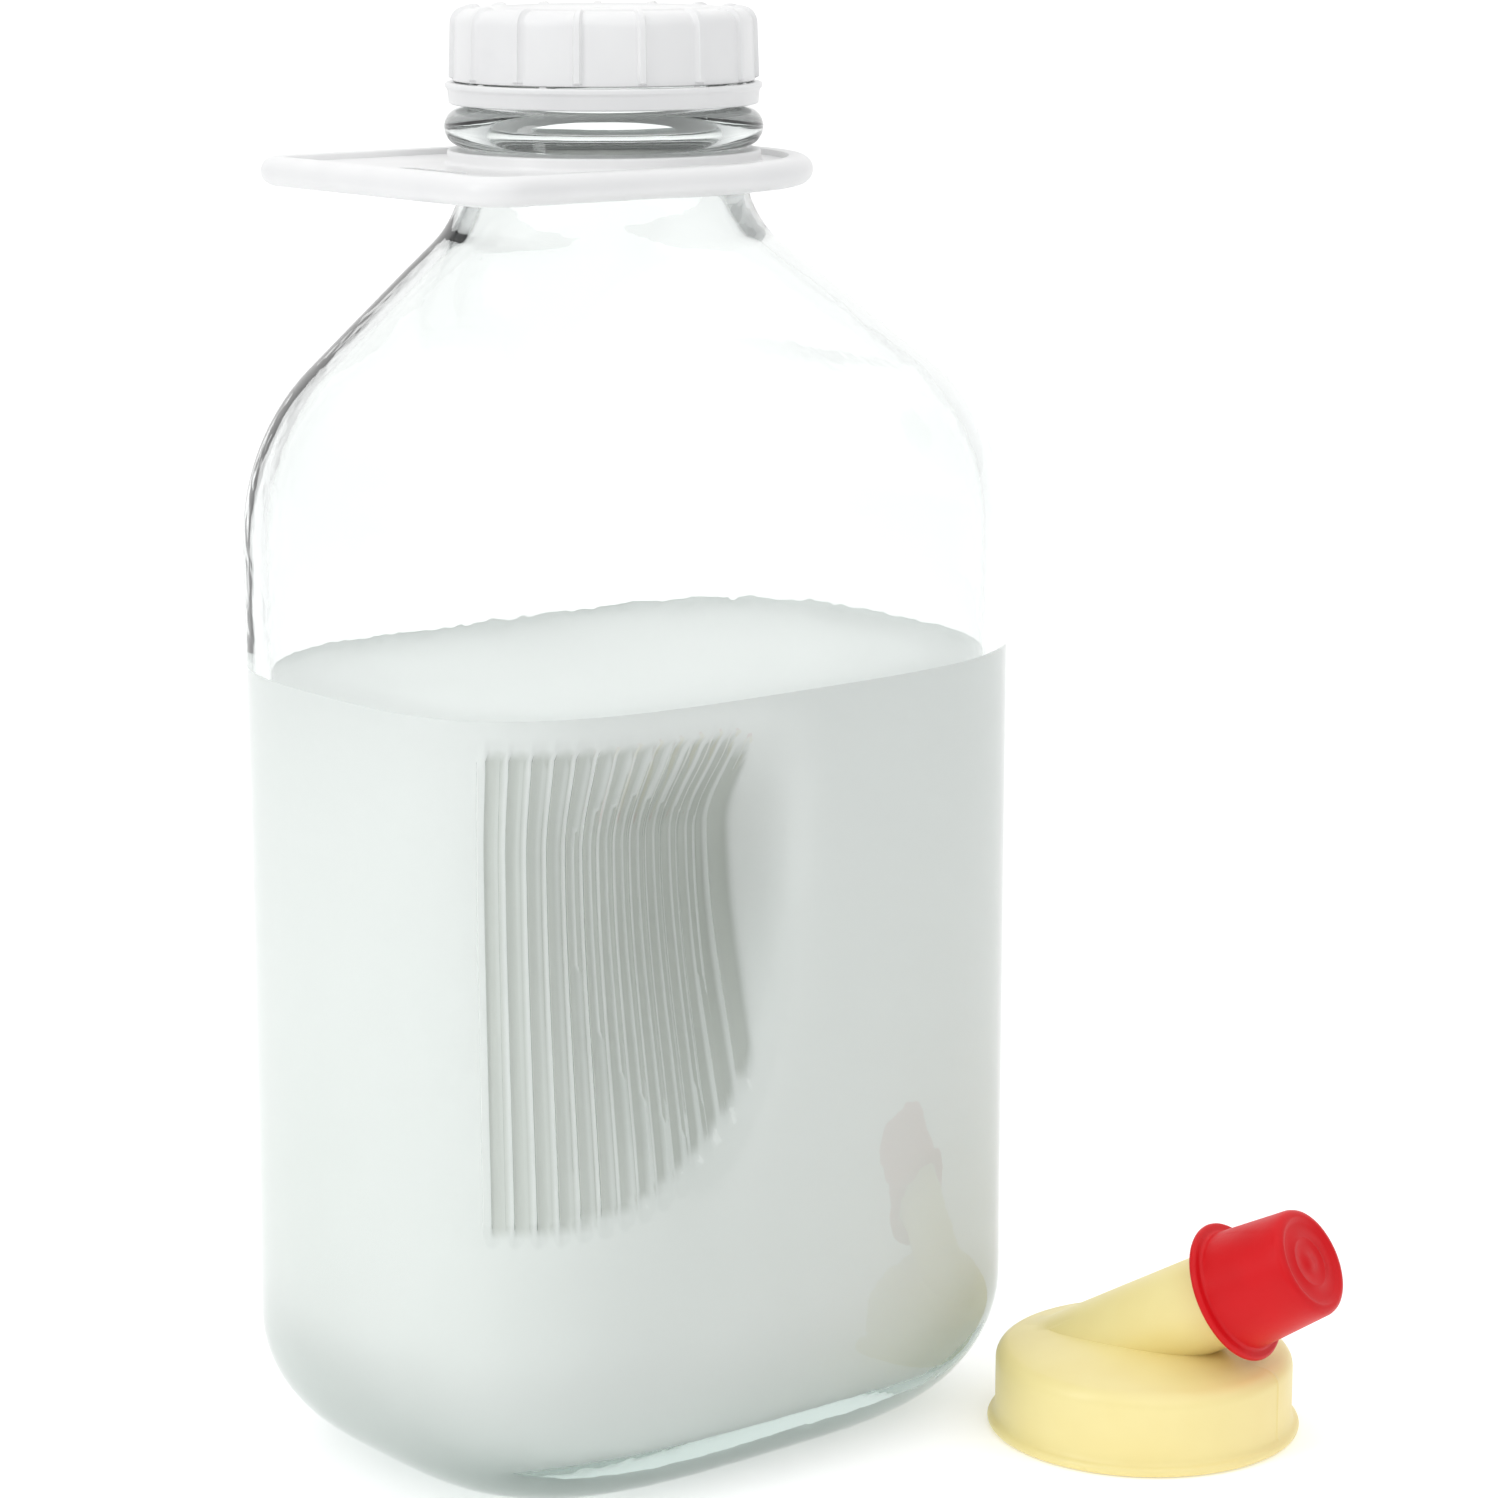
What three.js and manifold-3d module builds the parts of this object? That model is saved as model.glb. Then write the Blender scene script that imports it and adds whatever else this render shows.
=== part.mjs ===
// Half-gallon glass milk bottle with its screw cap, snap-on carrying plate and a separate pourer.
//
// Millimetres, +Z up. The bottle's long sides face -Y and +Y, the carrying plate points to -X, and
// the pourer stands on the same surface beside the bottle. The origin is the centre of the whole
// set's footprint, on the surface that it stands on.

import * as THREE from 'three';
import { mergeVertices } from 'three/addons/utils/BufferGeometryUtils.js';
import Module from 'manifold-3d';

const wasm = await Module();
wasm.setup();

// ---------------------------------------------------------------- driving dimensions

const GAP = 0.3; // left between pieces that rest on each other
const SLIVER = 0.03; // detail finer than this is smoothed away after a join or a cut

// bottle body: a rounded rectangle with slightly full sides
const HALF_LONG = 66.5;
const HALF_SHORT = 48;
const FULLNESS = 3.4; // exponent of the section's outline, where 2 is an ellipse
const WALL = 3.7;
const COLUMNS = 40;

// base
const HEEL = 24;
const REST_RING = 4;
const PUSH_UP = 5;
const BASE_THICK = 6;

// shoulder
const SHOULDER_FOOT = 165;
const SHOULDER_ARC = 40;
const SHOULDER_SLOPE = THREE.MathUtils.degToRad(48);
const NECK_ARC = 14;
const SHOULDER_REACH = 41.7;
const NECK_SHIFT = -5.5; // the neck stands a little towards the gripped end

// neck and finish
const NECK_R = 25;
const BORE_R = 20.5;
const BEAD_Z = 236.4;
const BEAD_R = 27.75;
const BEAD_ROUND = 3.3;
const FINISH_R = 23;
const LOCK_RING_R = 25;
const LOCK_RING_Z = 242.6;
const LIP_Z = 253.2;
const LIP_ROUND = 1.4;

// grip hollow in each long side
const GRIP = { left: -66, deepest: -13, right: 3, low: 42, high: 141, crest: 119, depth: 11 };

// contents
const MILK_Z = 142.6;
const MILK_GAP = 0.5;

// cap
const CAP_TOP = 257.2;
const CAP_LOW = 244.4;
const CAP_R = 26.3;
const CAP_BORE_R = 24.8;
const CAP_EDGE = 2.6;
const CAP_RIBS = 15;
const CAP_RIB_WIDE = 1.2;
const CAP_RIB_PROUD = 0.7;
const CAP_RIB_FOOT = 0.3;
const LINER_THICK = 1.2;
const LINER_R = 23.2;

// tamper-evident band
const BAND_LOW = 240.4;
const BAND_HIGH = CAP_LOW - GAP;
const BAND_R = 27.5;
const BAND_BORE_R = 25.5;
const BAND_HOOK_R = 24.2;

// carrying plate
const PLATE_Z = 229.1;
const PLATE_R = 36.4;
const PLATE_REACH = 51;
const PLATE_CORNER = 8;
const PLATE_THICK = 2.4;
const RIM_THICK = 5;
const RIM_WIDE = 4.5;
const PLATE_BORE_R = 25.6;
const HUB_R = 27.3;
const HUB_HIGH = 232.6;
const SKIRT_R = 30;
const SKIRT_LOW = 226;
const FINGER = { near: -31.5, far: -44, half: 20 };

// pourer and its cap
const POURER_AT = new THREE.Vector2(68, -64.6);
const POUR_FLANGE_R = 28.6;
const POUR_SKIRT_R = 27.2;
const POUR_FLANGE_HIGH = 1.8;
const POUR_EDGE_Z = 15;
const POUR_CROWN_Z = 17.4;
const POUR_WALL = 2;
const TUBE_R = 8.8;
const TUBE_BORE_R = 6.8;
const TUBE_RISE = THREE.MathUtils.degToRad(30);
const TUBE_TURN = THREE.MathUtils.degToRad(-71.8);
const TUBE_CROSS_Z = 17.9; // height at which the tube's axis crosses the pourer's own axis
const TUBE_BACK = -24;
const TUBE_END = 35;
const RED_FLANGE_R = 13;
const RED_MOUTH_R = 11;
const RED_END_R = 9.9;
const RED_FROM = 20.4;
const RED_LONG = 18;
const RED_BORE_R = 9.1;

// ---------------------------------------------------------------- finishes

const GLASS = { color: 0xdfe8e6, roughness: 0.05, metalness: 0, transparent: true, opacity: 0.35 };
const MILK = { color: 0xeef1ec, roughness: 0.35, metalness: 0 };
const WHITE_PLASTIC = { color: 0xf6f6f4, roughness: 0.35, metalness: 0 };
const LINER_FOAM = { color: 0xe9e9e4, roughness: 0.8, metalness: 0 };
const YELLOW_VINYL = { color: 0xeedd96, roughness: 0.45, metalness: 0 };
const RED_VINYL = { color: 0xd4141c, roughness: 0.4, metalness: 0 };

// ---------------------------------------------------------------- helpers

// A closed geometry with shared vertices and nothing but position.
function welded(geometry) {
  const bare = geometry.clone();
  bare.deleteAttribute('normal');
  bare.deleteAttribute('uv');
  const merged = mergeVertices(bare, 1e-4);
  const index = merged.index.array;
  const kept = [];
  for (let i = 0; i < index.length; i += 3) {
    const [a, b, c] = [index[i], index[i + 1], index[i + 2]];
    if (a !== b && b !== c && c !== a) kept.push(a, b, c);
  }
  merged.setIndex(kept);
  return merged;
}

// Turns a geometry made about Y so that its axis is Z.
function upright(geometry) {
  return geometry.rotateX(Math.PI / 2);
}

function solidOf(geometry) {
  const bare = welded(geometry);
  return new wasm.Manifold(new wasm.Mesh({
    numProp: 3,
    vertProperties: new Float32Array(bare.attributes.position.array),
    triVerts: new Uint32Array(bare.index.array),
  }));
}

function geometryOf(solid) {
  const mesh = solid.simplify(SLIVER).getMesh();
  const geometry = new THREE.BufferGeometry();
  geometry.setAttribute('position', new THREE.BufferAttribute(mesh.vertProperties, 3));
  geometry.setIndex(new THREE.BufferAttribute(mesh.triVerts, 1));
  return geometry;
}

// A solid turned about Z from a profile of [radius, height] points.
function turned(profile, columns) {
  const points = profile.map(([r, z]) => new THREE.Vector2(r, z));
  return upright(new THREE.LatheGeometry(points, columns));
}

// Points of an arc in the (radius, height) plane, both ends included.
function arc(r, z, radius, fromDeg, toDeg, steps) {
  const points = [];
  for (let i = 0; i <= steps; i += 1) {
    const angle = THREE.MathUtils.degToRad(fromDeg + ((toDeg - fromDeg) * i) / steps);
    points.push([r + radius * Math.cos(angle), z + radius * Math.sin(angle)]);
  }
  return points;
}

// Turns every face round, for a form whose profile runs from the top down.
function flipped(geometry) {
  const index = geometry.index.array;
  for (let i = 0; i < index.length; i += 3) {
    [index[i], index[i + 1]] = [index[i + 1], index[i]];
  }
  return geometry;
}

function named(name, geometry, finish) {
  geometry.computeVertexNormals();
  const mesh = new THREE.Mesh(geometry, new THREE.MeshStandardMaterial(finish));
  mesh.name = name;
  return mesh;
}

// ---------------------------------------------------------------- bottle sections

// A section is the bottle's outline at one height: half sizes, exponent and the centre's X.
function section(z, a, b, exponent, centre) {
  return { z, a, b, exponent, centre };
}

function bodySection(half, z, inset) {
  const b = half * (HALF_SHORT / HALF_LONG) - inset;
  return section(z, half - inset, b, FULLNESS, 0);
}

function shoulderSection(spread, z, inset) {
  const a = NECK_R + (HALF_LONG - NECK_R) * spread - inset;
  const b = NECK_R + (HALF_SHORT - NECK_R) * spread - inset;
  const exponent = 2 + (FULLNESS - 2) * Math.sqrt(spread);
  return section(z, a, b, exponent, NECK_SHIFT * (1 - spread));
}

function roundSection([r, z]) {
  return section(z, r, r, 2, NECK_SHIFT);
}

// The shoulder's S-curve as [spread, height] pairs, from the body (1) up to the neck (0).
function shoulderCurve(archSteps, neckSteps) {
  const arch = arc(0, 0, SHOULDER_ARC, 0, THREE.MathUtils.radToDeg(SHOULDER_SLOPE), archSteps)
    .map(([r, z]) => [SHOULDER_ARC - r, z]);
  const turnIn = (SHOULDER_ARC + NECK_ARC) * (1 - Math.cos(SHOULDER_SLOPE));
  const straight = (SHOULDER_REACH - turnIn) / Math.sin(SHOULDER_SLOPE);
  const rise = (SHOULDER_ARC + NECK_ARC) * Math.sin(SHOULDER_SLOPE)
    + straight * Math.cos(SHOULDER_SLOPE);
  const throat = arc(0, 0, NECK_ARC, THREE.MathUtils.radToDeg(SHOULDER_SLOPE), 0, neckSteps)
    .map(([r, z]) => [SHOULDER_REACH - NECK_ARC + r, rise - z]);
  return [...arch, ...throat].map(([x, z]) => [1 - x / SHOULDER_REACH, SHOULDER_FOOT + z]);
}

// Radius of a section's outline in the direction of an angle.
function outlineRadius({ a, b, exponent }, angle) {
  const across = Math.abs(Math.cos(angle) / a) ** exponent;
  const along = Math.abs(Math.sin(angle) / b) ** exponent;
  return (across + along) ** (-1 / exponent);
}

// Directions that divide the body's outline into equal lengths.
function columnAngles() {
  const fine = 2880;
  const body = bodySection(HALF_LONG, 0, 0);
  const lengths = [0];
  let before = new THREE.Vector2(HALF_LONG, 0);
  for (let i = 1; i <= fine; i += 1) {
    const angle = (i / fine) * 2 * Math.PI;
    const radius = outlineRadius(body, angle);
    const here = new THREE.Vector2(radius * Math.cos(angle), radius * Math.sin(angle));
    lengths.push(lengths.at(-1) + here.distanceTo(before));
    before = here;
  }
  return Array.from({ length: COLUMNS + 1 }, (_, k) => {
    const wanted = (lengths.at(-1) * k) / COLUMNS;
    const at = lengths.findIndex((length) => length >= wanted - 1e-9);
    return (at / fine) * 2 * Math.PI;
  });
}

const ANGLES = columnAngles();

// How far the grip hollow presses a long side in, at a place on it.
function gripDepth(x, z) {
  const { smoothstep } = THREE.MathUtils;
  const along = smoothstep(x, GRIP.left, GRIP.deepest) * (1 - smoothstep(x, GRIP.deepest, GRIP.right));
  const up = smoothstep(z, GRIP.low, GRIP.crest) * (1 - smoothstep(z, GRIP.crest, GRIP.high));
  return GRIP.depth * along * up;
}

// A closed body whose outline follows a list of sections; the ends close on its axis.
function bottleForm(sections) {
  const profile = sections.map(({ z, a }) => [a, z]);
  const form = turned(profile, COLUMNS);
  const position = form.attributes.position;
  const count = sections.length;
  for (let i = 0; i < position.count; i += 1) {
    const here = sections[i % count];
    const angle = ANGLES[Math.floor(i / count) % COLUMNS];
    const radius = here.a === 0 ? 0 : outlineRadius(here, angle);
    const x = here.centre + radius * Math.cos(angle);
    const y = radius * Math.sin(angle);
    const pressed = Math.sign(y) * Math.min(Math.abs(y), gripDepth(x, here.z));
    position.setXYZ(i, x, y - pressed, here.z);
  }
  return form;
}

const SIDE_HEIGHTS = [40, 55, 70, 85, 99, 110, 119, 126, 133, 141];

// ---------------------------------------------------------------- pieces

function outerSections() {
  const restOut = HALF_LONG - HEEL;
  const restIn = restOut - REST_RING;
  const underside = [[0, PUSH_UP], [restIn * 0.6, PUSH_UP * 0.8], [restIn - 1.5, 0.8], [restIn, 0]];
  const heel = arc(restOut, HEEL, HEEL, -90, 0, 6);
  const sides = SIDE_HEIGHTS.map((z) => [HALF_LONG, z]);
  const bead = arc(BEAD_R - BEAD_ROUND, BEAD_Z, BEAD_ROUND, -80, 80, 6);
  const finish = [
    [FINISH_R, BEAD_Z + BEAD_ROUND + 0.4],
    [FINISH_R, LOCK_RING_Z - 1],
    [LOCK_RING_R, LOCK_RING_Z - 0.3],
    [FINISH_R + 0.6, LOCK_RING_Z + 0.9],
    [FINISH_R, LOCK_RING_Z + 1.2],
    ...arc(FINISH_R - LIP_ROUND, LIP_Z - LIP_ROUND, LIP_ROUND, 0, 90, 2),
  ];
  return [
    ...underside.map(([half, z]) => section(z, half, half * (HALF_SHORT / HALF_LONG), FULLNESS, 0)),
    ...heel.map(([half, z]) => bodySection(half, z, 0)),
    ...sides.map(([half, z]) => bodySection(half, z, 0)),
    ...shoulderCurve(5, 3).map(([spread, z]) => shoulderSection(spread, z, 0)),
    ...bead.map(roundSection),
    ...finish.map(roundSection),
  ];
}

// The inner skin from the mouth down to the middle of the floor.
function innerSections(clearance, top) {
  const inset = WALL + clearance;
  const floor = PUSH_UP + BASE_THICK + clearance;
  const round = HEEL - WALL;
  const heel = arc(HALF_LONG - HEEL, floor + round, HEEL, 0, -90, 4).map(([half, z]) => [
    half, floor + round + (z - floor - round) * (round / HEEL)]);
  const throat = shoulderCurve(5, 3).reverse()
    .map(([spread, z]) => shoulderSection(spread, z, inset + (1 - spread) * (NECK_R - BORE_R - WALL)));
  const sides = [...SIDE_HEIGHTS].reverse().map((z) => bodySection(HALF_LONG, z, inset));
  const curve = heel.map(([half, z]) => bodySection(half, z, inset));
  const middle = section(floor, 0, 0, FULLNESS, 0);
  return [...throat, ...sides, ...curve, middle].filter(({ z }) => z < top);
}

function glassBottle() {
  const mouth = arc(BORE_R + LIP_ROUND, LIP_Z - LIP_ROUND, LIP_ROUND, 90, 180, 2);
  const shell = bottleForm([
    ...outerSections(),
    ...mouth.map(roundSection),
    ...innerSections(0, LIP_Z),
  ]);
  return named('glass_bottle', welded(shell), GLASS);
}

function milk() {
  const surface = bodySection(HALF_LONG, MILK_Z, WALL + MILK_GAP);
  const middle = section(MILK_Z, 0, 0, FULLNESS, 0);
  const form = bottleForm([middle, surface, ...innerSections(MILK_GAP, MILK_Z)]);
  return named('milk', welded(flipped(form)), MILK);
}

function capShell() {
  const ceiling = LIP_Z + GAP + LINER_THICK + GAP;
  const profile = [
    [0, CAP_TOP],
    ...arc(CAP_R - CAP_EDGE - 0.3, CAP_TOP - CAP_EDGE, CAP_EDGE, 90, 0, 3),
    [CAP_R, CAP_LOW],
    [CAP_BORE_R, CAP_LOW],
    [CAP_BORE_R, ceiling],
    [0, ceiling],
  ];
  let cap = solidOf(turned([...profile].reverse(), COLUMNS));
  for (let i = 0; i < CAP_RIBS; i += 1) {
    const high = CAP_TOP - 2.2 - CAP_LOW - CAP_RIB_FOOT;
    const rib = new THREE.BoxGeometry(1.6, CAP_RIB_WIDE, high);
    rib.translate(CAP_R + CAP_RIB_PROUD - 0.8, 0, CAP_LOW + CAP_RIB_FOOT + high / 2);
    cap = cap.add(solidOf(rib.rotateZ(((i + 0.3) * 2 * Math.PI) / CAP_RIBS)));
  }
  return named('cap_shell', geometryOf(cap).translate(NECK_SHIFT, 0, 0), WHITE_PLASTIC);
}

function capLiner() {
  const low = LIP_Z + GAP;
  const high = low + LINER_THICK;
  const disc = turned([[0, low], [LINER_R, low], [LINER_R, high], [0, high]], COLUMNS);
  return named('cap_liner', welded(disc).translate(NECK_SHIFT, 0, 0), LINER_FOAM);
}

function tamperBand() {
  const profile = [
    [BAND_HOOK_R + 0.6, BAND_LOW],
    [BAND_R - 0.6, BAND_LOW],
    [BAND_R - 0.4, BAND_HIGH - 1.4],
    [BAND_R, BAND_HIGH - 1],
    [BAND_R, BAND_HIGH],
    [BAND_BORE_R, BAND_HIGH],
    [BAND_BORE_R, BAND_LOW + 1.4],
    [BAND_HOOK_R, BAND_LOW + 0.9],
    [BAND_HOOK_R + 0.6, BAND_LOW],
  ];
  const band = welded(turned(profile, COLUMNS)).translate(NECK_SHIFT, 0, 0);
  return named('tamper_band', band, WHITE_PLASTIC);
}

// The plate's outline, a round end about the neck and a straight end, drawn in by an amount.
function plateOutline(inset) {
  const radius = PLATE_R - inset;
  const far = -(PLATE_REACH - inset);
  const corner = Math.max(PLATE_CORNER - inset, 2);
  const shape = new THREE.Shape();
  shape.absarc(0, 0, radius, -Math.PI / 2, Math.PI / 2, false);
  shape.lineTo(far + corner, radius);
  shape.absarc(far + corner, radius - corner, corner, Math.PI / 2, Math.PI, false);
  shape.lineTo(far, -(radius - corner));
  shape.absarc(far + corner, -(radius - corner), corner, Math.PI, 1.5 * Math.PI, false);
  return shape;
}

function fingerHole() {
  const round = (FINGER.near - FINGER.far) / 2;
  const middle = (FINGER.near + FINGER.far) / 2;
  const hole = new THREE.Path();
  hole.absarc(middle, FINGER.half - round, round, 0, Math.PI, false);
  hole.absarc(middle, -(FINGER.half - round), round, Math.PI, 2 * Math.PI, false);
  return hole;
}

function slab(shape, low, high, bevel) {
  const slabOptions = {
    depth: high - low - 2 * bevel,
    bevelEnabled: bevel > 0,
    bevelThickness: bevel,
    bevelSize: bevel,
    bevelOffset: -bevel,
    bevelSegments: 1,
    curveSegments: 10,
    steps: 1,
  };
  return new THREE.ExtrudeGeometry(shape, slabOptions).translate(0, 0, low + bevel);
}

function carryHandle() {
  const whole = solidOf(slab(plateOutline(0), PLATE_Z - RIM_THICK / 2, PLATE_Z + RIM_THICK / 2, 1.8));
  const inner = plateOutline(RIM_WIDE);
  const above = solidOf(slab(inner, PLATE_Z + PLATE_THICK / 2, PLATE_Z + RIM_THICK, 0));
  const below = solidOf(slab(inner, PLATE_Z - RIM_THICK, PLATE_Z - PLATE_THICK / 2, 0));
  const hub = solidOf(turned([
    [0, SKIRT_LOW],
    [SKIRT_R, SKIRT_LOW],
    [SKIRT_R, PLATE_Z],
    [HUB_R, PLATE_Z],
    [HUB_R, HUB_HIGH],
    [0, HUB_HIGH],
  ], COLUMNS));
  const bore = solidOf(turned([
    [0, SKIRT_LOW - 5],
    [PLATE_BORE_R, SKIRT_LOW - 5],
    [PLATE_BORE_R, HUB_HIGH + 5],
    [0, HUB_HIGH + 5],
  ], COLUMNS));
  const fingerShape = new THREE.Shape(fingerHole().getPoints(12));
  const finger = solidOf(slab(fingerShape, PLATE_Z - RIM_THICK, PLATE_Z + RIM_THICK, 0));
  const handle = whole.subtract(above).subtract(below).add(hub).subtract(bore).subtract(finger);
  return named('carry_handle', geometryOf(handle).translate(NECK_SHIFT, 0, 0), WHITE_PLASTIC);
}

// Lays a solid made along Z from 0 onto the pourer's tube axis, starting at a distance along it.
function alongTube(geometry, from) {
  const axis = new THREE.Vector3(
    Math.cos(TUBE_RISE) * Math.cos(TUBE_TURN),
    Math.cos(TUBE_RISE) * Math.sin(TUBE_TURN),
    Math.sin(TUBE_RISE),
  );
  const turn = new THREE.Quaternion().setFromUnitVectors(new THREE.Vector3(0, 0, 1), axis);
  const start = axis.clone().multiplyScalar(from);
  start.z += TUBE_CROSS_Z;
  return geometry.applyQuaternion(turn).translate(start.x, start.y, start.z);
}

function rod(radius, long) {
  return turned([[0, 0], [radius, 0], [radius, long], [0, long]], 28);
}

function pourSpout() {
  const shell = solidOf(turned([
    [0, 0],
    [POUR_FLANGE_R - 0.5, 0],
    [POUR_FLANGE_R, POUR_FLANGE_HIGH / 2],
    [POUR_FLANGE_R - 0.5, POUR_FLANGE_HIGH],
    [POUR_SKIRT_R + 0.3, POUR_FLANGE_HIGH + 0.5],
    ...arc(POUR_SKIRT_R - 3, POUR_EDGE_Z - 3, 3, 0, 78, 3),
    [POUR_SKIRT_R * 0.55, POUR_CROWN_Z - 0.7],
    [0, POUR_CROWN_Z],
  ], COLUMNS));
  const ceiling = POUR_EDGE_Z - POUR_WALL;
  const bore = POUR_SKIRT_R - POUR_WALL;
  const hollow = solidOf(turned([
    [0, -2], [bore, -2], [bore, ceiling - 2], [bore - 2, ceiling], [0, ceiling + 1.4],
  ], COLUMNS));
  const tube = solidOf(alongTube(rod(TUBE_R, TUBE_END - TUBE_BACK), TUBE_BACK));
  const bored = solidOf(alongTube(rod(TUBE_BORE_R, TUBE_END + 22), -20));
  const spout = shell.add(tube).subtract(hollow).subtract(bored);
  return named('pour_spout', geometryOf(spout).translate(POURER_AT.x, POURER_AT.y, 0), YELLOW_VINYL);
}

function spoutCap() {
  const cap = turned([
    [0, RED_LONG - 2.4],
    [RED_BORE_R, RED_LONG - 2.4],
    [RED_BORE_R, 0],
    [RED_FLANGE_R - 0.4, 0],
    [RED_FLANGE_R, 0.7],
    [RED_FLANGE_R - 0.4, 1.4],
    [RED_MOUTH_R, 1.6],
    [RED_END_R + 0.1, RED_LONG - 1.6],
    [RED_END_R - 0.5, RED_LONG - 0.4],
    [RED_END_R - 1.6, RED_LONG],
    [RED_END_R - 2.8, RED_LONG - 0.7],
    [0, RED_LONG - 0.7],
  ], 32);
  const placed = alongTube(welded(cap), RED_FROM).translate(POURER_AT.x, POURER_AT.y, 0);
  return named('spout_cap', placed, RED_VINYL);
}

// ---------------------------------------------------------------- assembly

const bottleSet = new THREE.Group();
bottleSet.add(glassBottle(), milk(), capShell(), capLiner(), tamperBand(), carryHandle());
bottleSet.add(pourSpout(), spoutCap());

const footprint = new THREE.Box3().setFromObject(bottleSet).getCenter(new THREE.Vector3());
bottleSet.position.set(-footprint.x, -footprint.y, 0);

export default bottleSet;
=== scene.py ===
"""Dresses a half-gallon glass milk bottle, its screw cap, carrying plate and soft pourer.

Metres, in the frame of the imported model: the bottle's long sides face -Y and +Y, the carrying
plate points to -X, and the pourer stands on the same floor beside the bottle.
"""

import logging
import math
from dataclasses import dataclass, field
from enum import Enum
from typing import Callable, Iterable, Sequence

import bmesh
import bpy
import numpy as np
from mathutils import Matrix, Vector


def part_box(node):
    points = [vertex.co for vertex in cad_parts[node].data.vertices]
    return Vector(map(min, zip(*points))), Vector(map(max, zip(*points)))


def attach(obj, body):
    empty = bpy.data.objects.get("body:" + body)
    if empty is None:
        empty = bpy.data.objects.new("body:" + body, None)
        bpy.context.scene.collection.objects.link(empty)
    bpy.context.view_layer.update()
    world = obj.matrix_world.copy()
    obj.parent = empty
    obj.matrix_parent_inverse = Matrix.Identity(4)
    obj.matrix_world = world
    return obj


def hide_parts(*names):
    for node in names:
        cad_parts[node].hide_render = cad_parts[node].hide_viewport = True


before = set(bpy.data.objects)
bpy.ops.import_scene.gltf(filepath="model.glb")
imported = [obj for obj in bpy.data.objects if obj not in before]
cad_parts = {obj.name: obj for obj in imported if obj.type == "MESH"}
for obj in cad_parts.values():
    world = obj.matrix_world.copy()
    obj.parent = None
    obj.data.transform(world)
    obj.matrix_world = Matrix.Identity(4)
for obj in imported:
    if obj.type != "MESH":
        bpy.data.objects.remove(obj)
log = logging.getLogger("milk_bottle")

MM = 0.001
Colour = tuple[float, float, float]
Profile = list[tuple[float, float]]


# ------------------------------------------------------------------ shapes and curves


def smoothstep(low: float, high: float, value: np.ndarray | float) -> np.ndarray:
    """Eases from 0 at low to 1 at high.

    Args:
        low: Where the ease begins.
        high: Where it ends, above or below low.
        value: The number or numbers to ease.

    Returns:
        The eased numbers.
    """
    share = np.clip((np.asarray(value, float) - low) / (high - low), 0.0, 1.0)
    return share * share * (3.0 - 2.0 * share)


def arc(r: float, z: float, radius: float, start: float, end: float, steps: int) -> Profile:
    """Points of an arc in the plane of radius and height.

    Args:
        r: Radius at the arc's centre.
        z: Height of the arc's centre.
        radius: The arc's own radius.
        start: Angle of the first point in degrees, 0 outwards and 90 up.
        end: Angle of the last point in degrees.
        steps: Number of steps between the two.

    Returns:
        The points, both ends included.
    """
    turns = np.radians(np.linspace(start, end, steps + 1))
    return [(r + radius * math.cos(t), z + radius * math.sin(t)) for t in turns]


def straight(start: tuple[float, float], end: tuple[float, float], steps: int) -> Profile:
    """Evenly spaced points from just after start up to end.

    Args:
        start: Where the line comes from, left out of the result.
        end: Its last point.
        steps: Number of points.

    Returns:
        The points.
    """
    shares = [(i + 1) / steps for i in range(steps)]
    return [tuple(a + (b - a) * s for a, b in zip(start, end)) for s in shares]


def even_turn(columns: int) -> np.ndarray:
    """Angles that divide a full turn evenly."""
    return np.arange(columns) * (2.0 * math.pi / columns)


def turned_rings(
    profile: Profile,
    angles: np.ndarray,
    swell: Callable[[float, float, np.ndarray], np.ndarray] | None = None,
) -> np.ndarray:
    """Rings of points that turn a profile about Z.

    Args:
        profile: Points of radius and height, in order along the surface.
        angles: Direction of each column of points.
        swell: Gives what is added to the radius at a radius, height and angles.

    Returns:
        An array of rings by columns by three coordinates.
    """
    rings = []
    for r, z in profile:
        radius = np.full(len(angles), r)
        if swell is not None and r > 0:
            radius = radius + swell(r, z, angles)
        level = np.full(len(angles), z)
        rings.append(np.column_stack([radius * np.cos(angles), radius * np.sin(angles), level]))
    return np.array(rings)


def helix_ridge(z: float, angles: np.ndarray, lead: float, starts: int, share: float) -> np.ndarray:
    """How much of a thread's ridge stands at a height, round a turn.

    Args:
        z: Height on the thread.
        angles: Directions round the axis.
        lead: Rise in one turn.
        starts: Number of ridges side by side.
        share: Part of the pitch that the ridge's foot takes.

    Returns:
        0 between the ridges and 1 on their crests.
    """
    phase = (z / lead - angles / (2.0 * math.pi)) * starts
    away = np.abs(phase - np.floor(phase) - 0.5)
    return 1.0 - smoothstep(share * 0.2, share * 0.5, away)


# ------------------------------------------------------------------ workbench


class Close(Enum):
    """How the two ends of a lofted skin are finished."""

    POINTS = "points"
    BRIDGE = "bridge"


def deselect_all() -> None:
    """Leaves object mode with nothing selected."""
    if bpy.context.object is not None and bpy.context.object.mode != "OBJECT":
        bpy.ops.object.mode_set(mode="OBJECT")
    bpy.ops.object.select_all(action="DESELECT")


def pick(piece: bpy.types.Object) -> None:
    """Selects one object alone and makes it active.

    Args:
        piece: The object to work on.
    """
    deselect_all()
    piece.select_set(True)
    bpy.context.view_layer.objects.active = piece


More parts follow.
